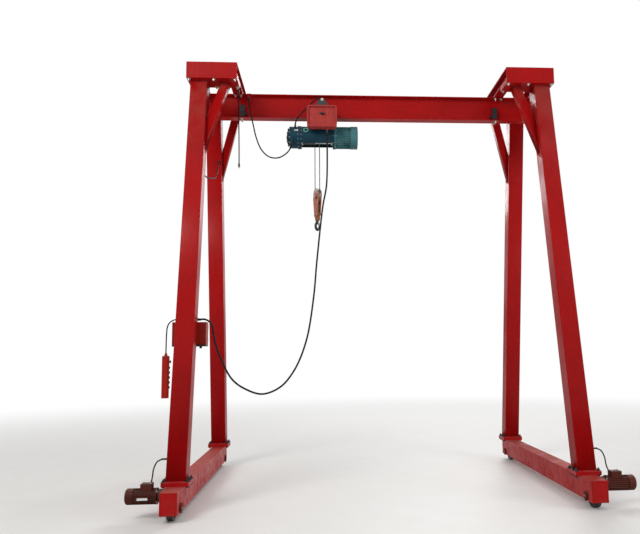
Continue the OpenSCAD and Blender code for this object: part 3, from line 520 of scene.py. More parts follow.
def smooth_path(points, count):
    """count points along a spline through the given ones, closer together where it bends.
    It is first drawn finely, in STEPS from one given point to the next."""
    p = [Vector(q) for q in points]
    p = [2 * p[0] - p[1], *p, 2 * p[-1] - p[-2]]
    fine = []
    for a, b, c, d in zip(p, p[1:], p[2:], p[3:]):
        t1 = (b - a).length ** 0.5
        t2 = t1 + (c - b).length ** 0.5
        t3 = t2 + (d - c).length ** 0.5
        leave = (t2 - t1) * ((b - a) / t1 - (c - a) / t2) + (c - b)
        arrive = (t2 - t1) * ((d - c) / (t3 - t2) - (d - b) / (t3 - t1)) + (c - b)
        for t in (step / STEPS for step in range(STEPS)):
            fine.append(b + leave * t + (3 * (c - b) - 2 * leave - arrive) * t ** 2
                        + (2 * (b - c) + leave + arrive) * t ** 3)
    fine.append(p[-2])
    runs = [0.0, (fine[1] - fine[0]).length]
    for a, b, c in zip(fine, fine[1:], fine[2:]):
        far = (c - b).length
        runs.append(runs[-1] + 0.3 * far + (far * (b - a).angle(c - b, 0.0)) ** 0.5)
    path, i = [], 0
    for k in range(count):
        goal = runs[-1] * k / (count - 1)
        while i < len(runs) - 2 and runs[i + 1] < goal:
            i += 1
        path.append(fine[i].lerp(fine[i + 1], (goal - runs[i]) / (runs[i + 1] - runs[i])))
    return path


def turns(count, start=0.0):
    """Angles that share out a full turn, from a start given in degrees."""
    return [radians(start) + 2 * pi * k / count for k in range(count)]


def circles(path, headings, radii, sides):
    """A circle of points about each point of a path, square to its heading."""
    across, rings = headings[0].orthogonal().normalized(), []
    for centre, ahead, radius in zip(path, headings, radii):
        across = (across - across.dot(ahead) * ahead).normalized()
        beside = ahead.cross(across)
        rings.append([centre + radius * (cos(a) * across + sin(a) * beside) for a in turns(sides)])
    return rings


def skin(*shapes):
    """Points and faces of closed shapes, each given as rings with equally many points."""
    points, faces = [], []
    for rings in shapes:
        first, sides = len(points), len(rings[0])
        points += [p for ring in rings for p in ring]
        for b in range(first, len(points) - sides, sides):
            faces += [(b + k, b + (k + 1) % sides, b + sides + (k + 1) % sides, b + sides + k) for k in range(sides)]
        faces += [tuple(range(first + sides - 1, first - 1, -1)), tuple(range(len(points) - sides, len(points)))]
    return points, faces


def new_piece(name, mesh, material, smooth=True):
    cover(mesh, material, smooth)
    return add(name, mesh)


def solid_of(name, points, faces, material, body=None, slot=None, smooth=True, **edges):
    """A closed piece from points and faces, all turned outwards, with rounded edges where their size is given."""
    mesh = bpy.data.meshes.new(name)
    mesh.from_pydata([tuple(p) for p in points], [], faces)
    facing = bmesh.new()
    facing.from_mesh(mesh)
    bmesh.ops.recalc_face_normals(facing, faces=facing.faces)
    facing.to_mesh(mesh)
    facing.free()
    piece = new_piece(name, mesh, material, smooth)
    if edges:
        round_edges(piece, **edges)
    if body:
        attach(piece, body)
    return piece


def tube(name, path, radii, material, body, sides=12):
    last = len(path) - 1
    headings = [(path[min(i + 1, last)] - path[max(i - 1, 0)]).normalized() for i in range(last + 1)]
    return solid_of(name, *skin(circles(path, headings, radii, sides)), material, body)


print("paths and skins ready")

# %% [markdown]
# The routes follow the cables' lines in the photograph where they show. A real cable doesn't kink at its gland, so the
# first two and the last two points of a route lie in line with it, and no bend is tighter than four diameters.

# %% Routes of the cables
ENTRY_Y = CABINET_BACK + CABINET_D / 2
GLAND = 0.025
pendant_route = [
    (CABINET_X - 0.065, ENTRY_Y, ENTRY_Z), (CABINET_X - 0.09, ENTRY_Y, ENTRY_Z), (-2.15, -0.766, 1.874),
    (-2.195, -0.785, 1.85), (-2.217, -0.815, 1.8), (-2.219, -0.838, 1.735), (-2.219, -0.849, 1.66),
    (PENDANT_X, PENDANT_Y, 1.58), (PENDANT_X, PENDANT_Y, PENDANT_Z + 0.03)]
control_route = [
    (TROLLEY_X + 0.06, -0.11, BOX_Z - GLAND), (-0.54, -0.11, 4.1), (-0.55, -0.21, 3.47),
    (-0.595, -0.26, 3.2), (-0.665, -0.37, 2.55), (-0.705, -0.43, 2.11), (-0.785, -0.5, 1.64),
    (-0.91, -0.55, 1.33), (-1.06, -0.59, 1.15), (-1.25, -0.63, 1.08), (-1.43, -0.665, 1.14),
    (-1.56, -0.69, 1.24), (-1.67, -0.715, 1.44), (-1.74, -0.735, 1.64), (-1.772, -0.748, 1.815),
    (-1.805, -0.757, 1.858), (-1.85, -0.763, 1.876), (CABINET_X + 0.095, ENTRY_Y, ENTRY_Z),
    (CABINET_X + 0.065, ENTRY_Y, ENTRY_Z)]
leg_in = (LEG_W / 2 - 0.025, LEG_W / 2 + GLAND, 3.3)
leg_out = (LEG_W / 2 - 0.025, -LEG_W / 2 - GLAND, 3.76)
leg_route = [
    leg_point(-1, -1, leg_in), leg_point(-1, -1, (leg_in[0], leg_in[1] + 0.04, leg_in[2])),
    (-1.924, -0.345, 3.522), (-1.91, -0.19, 3.545), (-1.905, -0.02, 3.585), (-1.905, 0.14, 3.636),
    (-1.909, 0.29, 3.706), (-1.915, 0.41, 3.785), (-1.921, 0.5, 3.868), (-1.927, 0.57, 3.948),
    leg_point(-1, 1, (leg_out[0], leg_out[1] - 0.02, leg_out[2])), leg_point(-1, 1, leg_out)]
BRACKET_X, BRACKET_Y, BRACKET_Z = -1.49, MID_Y - GIRDER_W / 2 - 0.01, GIRDER_TOP - 0.075
feed_route = [
    (BRACKET_X, BRACKET_Y - GLAND, BRACKET_Z), (BRACKET_X, BRACKET_Y - 0.05, BRACKET_Z),
    (-1.489, -0.045, 4.588), (-1.486, -0.078, 4.555), (-1.48, -0.091, 4.505), (-1.452, -0.09, 4.37),
    (-1.42, -0.086, 4.215), (-1.385, -0.082, 4.07), (-1.32, -0.074, 3.922), (-1.225, -0.066, 3.842),
    (-1.12, -0.058, 3.838), (-1.03, -0.05, 3.894), (-0.984, -0.046, 3.955), (-0.97, -0.045, HOIST_Z - 0.135),
    (-0.97, -0.045, HOIST_Z - 0.095)]
hanging_route = [
    (-1.6, -0.11, GIRDER_TOP - GLAND), (-1.6, -0.11, 4.6), (-1.592, -0.11, 4.28),
    (-1.586, -0.11, 3.96), (-1.583, -0.11, 3.74)]


def off_gearbox(far):
    """A point above the hoist gearbox's rear shoulder, at a distance from the drum's axis."""
    slope = radians(50)
    return (-0.925, MID_Y - far * sin(slope), HOIST_Z + far * cos(slope))


hoist_route = [
    (-0.545, -0.06, BOX_Z + BOX_H + 0.016), (-0.545, -0.06, 4.495), (-0.556, -0.06, 4.54),
    (-0.594, -0.06, 4.574), (-0.645, -0.06, 4.58), (-0.692, -0.06, 4.555), (-0.77, -0.06, 4.472),
    (-0.85, -0.059, 4.388), (-0.898, -0.049, 4.327), (-0.919, -0.034, 4.288), off_gearbox(0.173),
    off_gearbox(0.153)]


def drive_route(side):
    foot = LEG_W / 2 + GLAND
    return [
        leg_point(side, -1, (side * foot, 0, 0.2)), leg_point(side, -1, (side * (foot + 0.02), 0, 0.2)),
        (side * 2.2, -1.187, 0.49), (side * 2.234, -1.188, 0.424), (side * 2.242, -1.201, 0.346),
        (side * 2.242, -1.257, 0.302), (side * (DRIVE_OUT + 0.162), DRIVE_Y + 0.075, DRIVE_Z + 0.092)]


print("routes of 8 cables")

# %% [markdown]
# Each cable is given its route, thickness and ends, and its length is printed. Two of them cross from the portal to
# the trolley: their sheaths ride on neither body, and the relief at each end rides on the body that end is fixed to.

# %% Hang the cables
RELIEF_L, RIBS = 0.045, 12


def sleeve(name, path, thick, body):
    """A ribbed strain relief over the start of a path, thinner towards its end."""
    ahead = (path[1] - path[0]).normalized()
    places = [path[0] + ahead * RELIEF_L * i / RIBS for i in range(RIBS + 1)]
    radii = [thick * (0.82 - 0.018 * i) * (1.0 if i % 2 else 0.88) for i in range(RIBS + 1)]
    tube(name, places, radii, black_plastic, body, 14)


def cable(node, route, thick, count, bodies, far_end="object"):
    rings = smooth_path(route, 4 * (count - 1) + 1)
    path = rings[::4]
    length = sum((b - a).length for a, b in zip(path, path[1:]))
    near, far = (bodies, bodies) if isinstance(bodies, str) else bodies
    made = tube(f"{node}_sheath", rings, [thick / 2] * len(rings), sheath, near if near == far else None)
    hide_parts(node)
    sleeve(f"{node}_relief_near", path, thick, near)
    if far_end == "object":
        sleeve(f"{node}_relief_far", path[::-1], thick, far)
    print(node, round(length, 2), "m")
    return made


control = cable("control_cable", control_route, 0.02, 40, ("trolley", "gantry"))
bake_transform(control)
feed = cable("feed_cable", feed_route, 0.016, 32, ("gantry", "trolley"))
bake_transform(feed)
cable("leg_cable", leg_route, 0.016, 24, "gantry")
cable("hoist_cable", hoist_route, 0.016, 24, "trolley")
cable("pendant_cable", pendant_route, 0.013, 26, "gantry", "fitting")
for side, name in ((-1, "left"), (1, "right")):
    cable(f"drive_cable_{name}", drive_route(side), 0.013, 20, "gantry")


# %% [markdown]
# One cable ends in the air with a plug. A plug, a gland, a button or a nut is a body of revolution: its outline is
# drawn as distances and radii along an axis and turned about it, as on a lathe.

# %% The plug of the loose cable
def turned(name, profile, places, material, body, slot=None, sides=24):
    """Bodies of revolution: (distance, radius) pairs in millimetres, along a direction from each base point."""
    shapes = []
    for base, way in places:
        ahead = Vector(way).normalized()
        path = [Vector(base) + far / 1000 * ahead for far, _ in profile]
        shapes.append(circles(path, [ahead] * len(path), [radius / 1000 for _, radius in profile], sides))
    return solid_of(name, *skin(*shapes), material, body, slot, radius=0.0005, angle=35.0)


loose_end = [(hanging_route[-1], DOWN)]
plug = turned("loose_plug", [(-20, 7.8), (0, 10.5), (3, 12), (30, 12), (33, 9.5), (40, 9.5)], loose_end, black_plastic,
              "gantry")
tip = turned("loose_plug_tip", [(36, 9.8), (46, 9.8), (49, 7)], loose_end, white_plastic, "gantry")
turned("loose_cable_gland", [(0, 13.3), (11, 13.3), (11.5, 10.5), (25, 10)], [((-1.6, -0.11, GIRDER_TOP), DOWN)],
       black_plastic, "gantry")
cable("hanging_cable", hanging_route, 0.014, 20, "gantry", "plug")

# %% [markdown]
# ## What repeats, by Geometry Nodes
# Bolts, weld beads and the strands of a rope all follow one small rule over and over, so each gets a node tree. The
# tree's inputs carry its sizes, it ends in whole geometry with one material, and its result is kept as a plain mesh.

# %% A tree with named inputs
class Growth(Graph):
    def __init__(self, name, **inputs):
        super().__init__(bpy.data.node_groups.new(name, "GeometryNodeTree"))
        panel = self.tree.interface
        panel.new_socket("Geometry", in_out="INPUT", socket_type="NodeSocketGeometry")
        panel.new_socket("Material", in_out="INPUT", socket_type="NodeSocketMaterial")
        for label, start in inputs.items():
            kind = "NodeSocketInt" if isinstance(start, int) else "NodeSocketFloat"
            panel.new_socket(label, in_out="INPUT", socket_type=kind).default_value = start
        panel.new_socket("Geometry", in_out="OUTPUT", socket_type="NodeSocketGeometry")
        self.entry = self.tree.nodes.new("NodeGroupInput")

    def given(self, label):
        return Value(self, self.entry.outputs[label])

    def line(self):
        """The edges that come in, as a curve with a point every step."""
        curve = self.node("GeometryNodeMeshToCurve", {}, {"Mesh": self.given("Geometry")})
        return self.node("GeometryNodeResampleCurve", {"mode": "LENGTH"}, {
            "Curve": curve, "Length": self.given("step")})

    def circle(self, sides, radius):
        return self.node("GeometryNodeCurvePrimitiveCircle", {}, {"Resolution": sides, "Radius": radius})

    def sweep(self, line, section, scale):
        return self.end(self.node("GeometryNodeCurveToMesh", {}, {
            "Curve": line, "Profile Curve": section, "Scale": scale, "Fill Caps": True}))

    def end(self, geometry):
        whole = self.node("GeometryNodeRealizeInstances", {}, {"Geometry": geometry})
        dressed = self.node("GeometryNodeSetMaterial", {}, {"Geometry": whole, "Material": self.given("Material")})
        self.node("NodeGroupOutput", {}, {"Geometry": dressed})
        return self


def grown(name, growth, start, material, body, slot, sharp=30.0, **inputs):
    """Run a tree on a mesh and keep the result as a plain mesh that rides on a body."""
    host = add(name, start)
    modifier = host.modifiers.new("grow", "NODES")
    modifier.node_group = growth.tree
    sockets = {item.name: item.identifier for item in growth.tree.interface.items_tree if item.in_out == "INPUT"}
    for label, given in {"Material": material, **inputs}.items():
        modifier[sockets[label]] = given
    mesh = bpy.data.meshes.new_from_object(host.evaluated_get(bpy.context.evaluated_depsgraph_get()))
    bpy.data.objects.remove(host)
    piece = new_piece(name, mesh, material)
    if body:
        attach(piece, body)
    mesh.set_sharp_from_angle(angle=radians(sharp))
    print(name, len(mesh.polygons), "faces")
    return piece


# %% [markdown]
# A hexagon head is a six-sided prism whose corners are turned off in a lathe. The tree cuts the prism with a blunt
# cone, which leaves the six small arcs of a real head, and sets it on a washer. A stub of thread may stand out of it,
# as it does from a nut. One such bolt is copied to each point, stands along that point's axis and has its own turn.

# %% The bolt tree
def bolt_growth():
    tree = Growth("bolt", across=0.024, height=0.01, washer=0.003, stub=0.0, seed=1)
    across, height, washer = (tree.given(label) for label in ("across", "height", "washer"))

    def prism(sides, low, high, depth, lift):
        made = tree.node("GeometryNodeMeshCone", {"fill_type": "NGON"}, {
            "Vertices": sides, "Radius Bottom": low, "Radius Top": high, "Depth": depth})
        place = tree.node("ShaderNodeCombineXYZ", {}, {"Z": lift})
        return tree.node("GeometryNodeTransform", {}, {"Geometry": made, "Translation": place})

    corners = across * 0.577
    hexagon = prism(6, corners, corners, height * 1.2, washer - height * 0.1)
    cone = prism(24, across * 0.46 + height * 1.73, across * 0.46, height, washer)
    head = tree.node("GeometryNodeMeshBoolean", {"operation": "INTERSECT"}, {"Mesh 2": [hexagon, cone]})
    disc = prism(24, across * 0.92, across * 0.92, washer, 0.0)
    thread = prism(12, across * 0.31, across * 0.29, height * 0.9 + tree.given("stub"), washer)
    one = tree.node("GeometryNodeJoinGeometry", {}, {"Geometry": [head, disc, thread]})
    axis = tree.node("GeometryNodeInputNamedAttribute", {"data_type": "FLOAT_VECTOR"}, {"Name": "axis"})
    stand = tree.node("FunctionNodeAlignRotationToVector", {"axis": "Z"}, {"Vector": axis})
    copies = tree.node("GeometryNodeInstanceOnPoints", {}, {
        "Points": tree.given("Geometry"), "Instance": one, "Rotation": stand})
    angle = tree.node("FunctionNodeRandomValue", {"data_type": "FLOAT"}, {
        2: 0.0, 3: 2 * pi, "Seed": tree.given("seed")}, 1)
    turn = tree.node("ShaderNodeCombineXYZ", {}, {"Z": angle})
    return tree.end(tree.node("GeometryNodeRotateInstances", {}, {
        "Instances": copies, "Rotation": turn, "Local Space": True}))


bolt = bolt_growth()


def bolts(name, places, body, seed, across, height, washer=3, stub=0, material=zinc, slot="bare_steel"):
    """A bolt on each place, which is a point and the direction in which it stands. The sizes are in millimetres."""
    spots = bpy.data.meshes.new("spots")
    spots.from_pydata([tuple(p) for p, _ in places], [], [])
    axis = spots.attributes.new("axis", "FLOAT_VECTOR", "POINT")
    axis.data.foreach_set("vector", [c for _, way in places for c in Vector(way).normalized()])
    grown(name, bolt, spots, material, body, slot, across=across / 1000, height=height / 1000, washer=washer / 1000,
          stub=stub / 1000, seed=seed)


def ring_of(centre, way, radius, count, start=0.0):
    """Places on a circle about a centre, square to X, all with one direction."""
    return [(Vector(centre) + radius * Vector((0, cos(a), sin(a))), way) for a in turns(count, start)]


print("bolt tree", len(bolt.tree.nodes), "nodes")

# %% [markdown]
# ## Bolts of the portal
# The portal comes to its place in pieces, so its members meet in bolted plates: the legs stand on the ground beams
# with three bolts on each side, and carry the top frame on six. In the photograph the foot bolts are dark and stand
# well above the plate. Each nut shows a few turns of thread, and its head is on the other side of the plates.

# %% Bolts through the plates
RAIL_FOOT, RAILS_X = GIRDER_TOP + 0.012, (HEAD_IN + 0.06, HEAD_OUT - 0.06)
foot_nuts, foot_heads, head_tops, head_nuts = [], [], [], []


def through(x, y, top, bottom, tops=head_tops, bottoms=head_nuts):
    tops.append(((x, y, top), UP))
    bottoms.append(((x, y, bottom), DOWN))


for side in (-1, 1):
    for end in (-1, 1):
        foot_y, head_y = MID_Y + end * FEET / 2, MID_Y + end * HEADS / 2
        for x in (-0.1125, 0.1125):
            for y in (-0.09, 0.0, 0.09):
                through(side * SPAN / 2 + x, foot_y + y, LEG_Z0, BEAM_Z + BEAM_H, foot_nuts, foot_heads)
        for x, top in ((RAILS_X[0] - 0.034, RAIL_FOOT), (1.83, GIRDER_TOP), (RAILS_X[1] + 0.034, RAIL_FOOT)):
            for y in (-0.12, 0.12):
                through(side * x, head_y + y, top, LEG_Z1)
    for rail in RAILS_X:
        for x in (-0.034, 0.034):
            for y in (-0.045, 0.045):
                through(side * (rail + x), MID_Y + y, RAIL_FOOT, GIRDER_TOP - 0.0129)
    for y in (-0.034, 0.034):
        through(side * 1.582, MID_Y + y, GIRDER_Z + 0.0289, GIRDER_Z)
bolts("foot_nuts", foot_nuts, "gantry", 1, 27, 16, stub=12, material=black_steel, slot="dark_steel")
bolts("foot_bolt_heads", foot_heads, "gantry", 2, 27, 12, material=black_steel, slot="dark_steel")
bolts("head_bolt_heads", head_tops, "gantry", 3, 24, 10)
bolts("head_nuts", head_nuts, "gantry", 4, 24, 14, stub=10)

# %% [markdown]
# Each bearing cap is held by six small bolts under the paint, each travel gearbox by six and each motor by four. The
# lid of a motor's terminal box has a screw in each corner.

# %% Bolts of the wheels and travel drives
MOTOR_X = DRIVE_OUT + 0.062
cap_bolts, drive_bolts, motor_bolts, box_screws = [], [], [], []
for side in (-1, 1):
    for end in (-1, 1):
        for face in (-1, 1):
            cap = (side * SPAN / 2 + face * (BEAM_W / 2 + 0.0096), end * WHEEL_Y, WHEEL_Z)
            cap_bolts += ring_of(cap, (face, 0, 0), 0.0388, 6, 30)
    drive_bolts += ring_of((side * (DRIVE_OUT + 0.012), DRIVE_Y, DRIVE_Z), (side, 0, 0), 0.0622, 6, 30)
    motor_bolts += ring_of((side * MOTOR_X, DRIVE_Y, DRIVE_Z), (-side, 0, 0), 0.0665, 4, 45)
    box_screws += [((side * (MOTOR_X + x), DRIVE_Y + y, DRIVE_Z + 0.1205), UP)
                   for x in (0.06, 0.14) for y in (-0.04, 0.04)]
# The cap bolts take the same darker copy of the red, which is painted shade
bolts("cap_bolts", cap_bolts, "gantry", 5, 10, 4.5, 1.5, material=motor_red, slot="maroon_paint")
bolts("drive_bolts", drive_bolts, "gantry", 6, 10, 5, 1.5)
bolts("motor_bolts", motor_bolts, "gantry", 7, 13, 6, 2)
bolts("motor_lid_screws", box_screws, "gantry", 8, 8, 3.5, 1)

# %% [markdown]
# ## Weld beads
# Tubes and plates are joined by fillet welds, which stay visible under the paint as a rope of small frozen ripples.
# A closed line runs around each joint. The tree lays rings along it every few millimetres, every second ring a little
# thinner, and lets the whole bead swell and shrink slowly, as a welder's hand does.

# %% The bead tree
def bead_growth():
    tree = Growth("weld_bead", size=0.006, step=0.0045)
    index = tree.node("GeometryNodeInputIndex")
    ripple = index.math("MODULO", index, 2.0)
    hand = tree.node("ShaderNodeTexNoise", {}, {"Scale": 38.0, "Detail": 1.0})
    return tree.sweep(tree.line(), tree.circle(6, 1.0), tree.given("size") * (0.8 + 0.34 * hand - 0.13 * ripple))


bead = bead_growth()


def lines(loops, closed=True):
    """A mesh of bare edges, one loop or line after another. Two points are always a line."""
    points, edges = [], []
    for loop in loops:
        first = len(points)
        points += [tuple(p) for p in loop]
        edges += [(first + k, first + k + 1) for k in range(len(loop) - 1)]
        if closed and len(loop) > 2:
            edges.append((len(points) - 1, first))
    mesh = bpy.data.meshes.new("lines")
    mesh.from_pydata(points, edges, [])
    return mesh


def rounded(half_x, half_y, radius=0.01):
    """The corners of a round-cornered rectangle about the origin."""
    corners = []
    for k, (sx, sy) in enumerate(((1, 1), (-1, 1), (-1, -1), (1, -1))):
        for step in range(4):
            a = pi / 2 * (k + step / 3)
            corners.append((sx * (half_x - radius) + radius * cos(a),
                            sy * (half_y - radius) + radius * sin(a)))
    return corners


print("bead tree", len(bead.tree.nodes), "nodes")

# %% [markdown]
# Beads run round the foot and the head of each leg, round both ends of each knee brace, along the base plates on the
# ground beams and round the plates that close the beams. A bead's line is the outline of the member that is welded.

# %% Beads on the portal
BRACE_REACH, BRACE_DROP = 0.2, 0.695
BRACE_LEAN = atan(BRACE_REACH / BRACE_DROP)
LEG_RUN = (LEG_Z1 - LEG_Z0) / cos(LEAN)
joints = []
for side, end in ((-1, -1), (-1, 1), (1, -1), (1, 1)):
    leg_x, foot_y, head_y = side * SPAN / 2, MID_Y + end * FEET / 2, MID_Y + end * HEADS / 2
    brace_x, end_y = side * (SPAN / 2 - LEG_W / 2 - BRACE_REACH), end * (OVERALL_L / 2 - 0.0005)
    tube_edge = rounded(LEG_W / 2 + 0.001, LEG_W / 2 / cos(LEAN) + 0.001)
    brace_foot = rounded(BRACE_W / 2 / sin(BRACE_LEAN) + 0.001, BRACE_W / 2 + 0.001)
    brace_head = rounded(BRACE_W / 2 / cos(BRACE_LEAN), BRACE_W / 2 / cos(LEAN))
    beam_end = rounded(BEAM_W / 2 - 0.009, BEAM_H / 2 - 0.009, 0.004)
    base = ((0.08, 0.129), (-0.08, 0.129), (-0.08, -0.129), (0.08, -0.129))
    joints += [
        [(leg_x + x, foot_y + y, LEG_Z0 + 0.001) for x, y in tube_edge],
        [(leg_x + x, head_y + y, LEG_Z1 - 0.001) for x, y in tube_edge],
        [leg_point(side, end, (-side * (LEG_W / 2 + 0.001), y, LEG_RUN - BRACE_DROP + z)) for z, y in brace_foot],
        [(brace_x + x, head_y + y, LEG_Z1 - 0.001) for x, y in brace_head],
        [(leg_x + x, foot_y + y, BEAM_Z + BEAM_H) for x, y in base],
        [(leg_x + x, end_y, BEAM_Z + BEAM_H / 2 + z) for x, z in beam_end]]
grown("weld_beads", bead, lines(joints), red, "gantry", "red_paint", 60.0, size=0.0058)

# %% [markdown]
# ## Travel drives
# Most small parts are either turned or plain slabs with rounded edges. The guard of a fan is wire, bent to rings and
# welded to spokes. A turned disc with holes would be simpler, but wire catches the light all round.

# %% Slabs and bent wire
def slabs(name, boxes, material, body, slot, radius=0.0008, place=Vector):
    """Boxes given by two corners, as one piece with rounded edges. place turns a point into the crane's frame."""
    shapes = []
    for a, b in boxes:
        section = ((a[1], a[2]), (b[1], a[2]), (b[1], b[2]), (a[1], b[2]))
        shapes.append([[place((x, y, z)) for y, z in section] for x in (a[0], b[0])])
    return solid_of(name, *skin(*shapes), material, body, slot, radius=radius, segments=3)


def wire_growth():
    tree = Growth("wire", thick=0.003, step=0.006)
    return tree.sweep(tree.line(), tree.circle(8, 1.0), tree.given("thick") * 0.5)


wire = wire_growth()


def guard(name, centre, way, radii, spokes, thick, body, slot):
    """A fan guard: wire rings on spokes in front of a dark opening. The radii and the wire are in millimetres."""
    middle = Vector(centre) + Vector(way) * 0.7 * thick / 1000
    loops = [[p for p, _ in ring_of(middle, way, r / 1000, 40)] for r in radii]
    for out, _ in ring_of((0, 0, 0), way, 0.001, spokes, 180 / spokes):
        loops.append([middle + out * radii[0], middle + out * radii[-1]])
    grown(name, wire, lines(loops), black_steel, body, slot, 80.0, thick=thick / 1000, step=0.006)
    edge = radii[-1] + 1
    turned(f"{name}_opening", [(0, edge), (0.6, edge)], [(centre, way)], black_plastic, body, slot, 40)


print("slabs and wire ready")

# %% [markdown]
# Each driven beam carries a small geared motor. Its fan cowl is open at the end behind a guard of wire rings, its
# terminal box has a lid over a seal, and the left motor has a plain alloy plate riveted over its fins, which shows in
# the photograph. The bearing caps carry grease nipples.

# %% Details of the travel drives
nipples, seals = [], []
for side, name in ((-1, "left"), (1, "right")):
    nipples += [((side * SPAN / 2 + face * (BEAM_W / 2 + 0.016), end * WHEEL_Y, WHEEL_Z), (face, 0, 0))
                for end in (-1, 1) for face in (-1, 1)]
    guard(f"fan_guard_{name}", (side * (MOTOR_X + 0.288), DRIVE_Y, DRIVE_Z), (side, 0, 0), (13, 23, 33, 43, 53), 6, 2.4,
          "gantry", "maroon_paint")
    seals.append(((side * (MOTOR_X + 0.049), DRIVE_Y - 0.051, DRIVE_Z + 0.1075),
                  (side * (MOTOR_X + 0.151), DRIVE_Y + 0.051, DRIVE_Z + 0.1105)))
turned("grease_nipples", [(-1, 6.5), (4, 6.5), (5, 3.5), (9, 3.5), (11, 2)], nipples, zinc, "gantry", "bare_steel", 12)
slabs("motor_lid_seals", seals, buffer_rubber, "gantry", "cable_rubber")
PLATE_X, PLATE_Y, PLATE_Z = (-MOTOR_X - 0.172, -MOTOR_X - 0.075), DRIVE_Y - 0.0765, (0.1855, 0.2065)
slabs("motor_plate", [((PLATE_X[0], PLATE_Y, PLATE_Z[0]), (PLATE_X[1], PLATE_Y + 0.0065, PLATE_Z[1]))], pale_alloy,
      "gantry", "bare_steel")
rivets = [((x, PLATE_Y, z), FRONT) for x in (PLATE_X[0] + 0.004, PLATE_X[1] - 0.004)
          for z in (PLATE_Z[0] + 0.004, PLATE_Z[1] - 0.004)]
turned("motor_plate_rivets", [(0, 2.2), (0.8, 2), (1.3, 1)], rivets, zinc, "gantry", "bare_steel", 10)
print(len(nipples), "grease nipples and", len(rivets), "rivets")

# %% [markdown]
# The trolley's stops are angles with a rubber buffer. In the photograph they look taller and deeper than an angle, as
# a stop does that has a short piece of box section behind it. Two small webs hold it clear of the fixing bolts.

# %% Box sections behind the stops
STOP_X, STOP_FOOT, INNER, OUTER = (1.541, 1.6), 4.4039, 0.0057, 0.0583
WEB_X, WEB_Z = (1.553, 1.596), (-0.001, 0.024)
sections = []
for side in (-1, 1):
    for face in (-1, 1):
        for x, y, z in ((STOP_X, (INNER, OUTER), (0.022, 0.135)), (WEB_X, (INNER, INNER + 0.005), WEB_Z),
                        (WEB_X, (OUTER - 0.006, OUTER - 0.001), WEB_Z)):
            sections.append([(side * x[k], MID_Y + face * y[k], STOP_FOOT + z[k]) for k in (0, 1)])
slabs("stop_sections", sections, black_steel, "gantry", "dark_steel", 0.0015)
print(len(sections), "blocks at the stops")

# %% [markdown]
# ## The hoist
# The hoist is a drum between a gearbox and a motor, joined by flanges with a ring of bolts. The motor end is a fan
# cowl with a wire guard, the gearbox end a cover with its own bolts. On the front sit a round cover with a pale green
# rim and a plain alloy plate, both seen in the photograph.

# %% Details of the hoist
HOIST = (MID_Y, HOIST_Z)
GEAR_END, MOTOR_END = CASING_X0 - 0.149, CASING_X1 + 0.283
bolts("gearbox_bolts", ring_of((GEAR_END + 0.024, *HOIST), LEFT, 0.122, 12, 15), "trolley", 9, 13, 6, 2)
flange_bolts = ring_of((CASING_X0 - 0.02, *HOIST), LEFT, 0.1375, 16)
flange_bolts += ring_of((CASING_X0 + 0.014, *HOIST), RIGHT, 0.134, 16)
flange_bolts += ring_of((CASING_X1 + 0.018, *HOIST), RIGHT, 0.1325, 10, 6)
flange_bolts += ring_of((CASING_X1 - 0.014, *HOIST), LEFT, 0.134, 10, 6)
bolts("hoist_flange_bolts", flange_bolts, "trolley", 10, 9, 5.5, 1.2)
guard("hoist_fan_guard", (MOTOR_END, *HOIST), RIGHT, (18, 34, 50, 66, 82, 98, 114, 128), 8, 3.5, "trolley",
      "teal_paint")
turned("gearbox_cover", [(-1, 74), (6, 74), (9, 70), (9, 30), (16, 26), (18, 20)], [((GEAR_END, *HOIST), LEFT)], teal,
       "trolley", "teal_paint", 48)
bolts("gearbox_cover_bolts", ring_of((GEAR_END - 0.009, *HOIST), LEFT, 0.058, 6), "trolley", 11, 11, 5, 1.5)
FACE_LEAN = radians(26)


def on_face(p):
    """A point given along X, up and out from the hoist's axis, on a face that looks forward and a little up."""
    return (p[0], MID_Y - p[2] * cos(FACE_LEAN) + p[1] * sin(FACE_LEAN),
            HOIST_Z + p[2] * sin(FACE_LEAN) + p[1] * cos(FACE_LEAN))


round_cover = [(on_face((-0.797, 0, 0.135)), (0, -cos(FACE_LEAN), sin(FACE_LEAN)))]
turned("round_cover_rim", [(-6, 32), (3, 32), (5, 30), (5, 22), (2, 20)], round_cover, ring_enamel, "trolley",
       "teal_paint", 40)
turned("round_cover", [(0, 19.5), (3.2, 19.5), (5, 6), (5.2, 3)], round_cover, teal, "trolley", "teal_paint", 32)
slabs("hoist_plate", [((-0.936, -0.014, 0.13), (-0.88, 0.014, 0.1345))], pale_alloy, "trolley", "bare_steel",
      0.0006, on_face)
print("hoist ends at", round(GEAR_END, 3), round(MOTOR_END, 3))

# %% [markdown]
# The slot below the drum casing is narrower in the photograph than in the solid, so a curved lip carries the casing
# on towards the ropes on each side. A lip is a strip that is bent about the drum's axis: four corners, swept through
# a few angles.

# %% Lips of the casing's slot
def bent_strip(name, angles, steps, radii, half, place, material, body, slot, **look):
    """A strip between two angles in degrees and two radii about X, as far to one side as to the other."""
    rings = []
    for k in range(steps + 1):
        a = radians(angles[0] + (angles[1] - angles[0]) * k / steps)
        rings.append([place((x, r * cos(a), r * sin(a)))
                      for r, x in ((radii[0], -half), (radii[0], half), (radii[1], half), (radii[1], -half))])
    solid_of(name, *skin(rings), material, body, slot, **look)


def under_hoist(p):
    """A point given from the middle of the casing, forward and down."""
    return ((CASING_X0 + CASING_X1) / 2 + p[0], MID_Y - p[1], HOIST_Z - p[2])


for name, angles in (("slot_lip_front", (31, 45.5)), ("slot_lip_rear", (149, 134.5))):
    bent_strip(name, angles, 10, (0.1285, 0.1335), (CASING_X1 - CASING_X0) / 2 - 0.021, under_hoist, teal, "trolley",
               "teal_paint", smooth=False)
print("2 lips at the casing's slot")
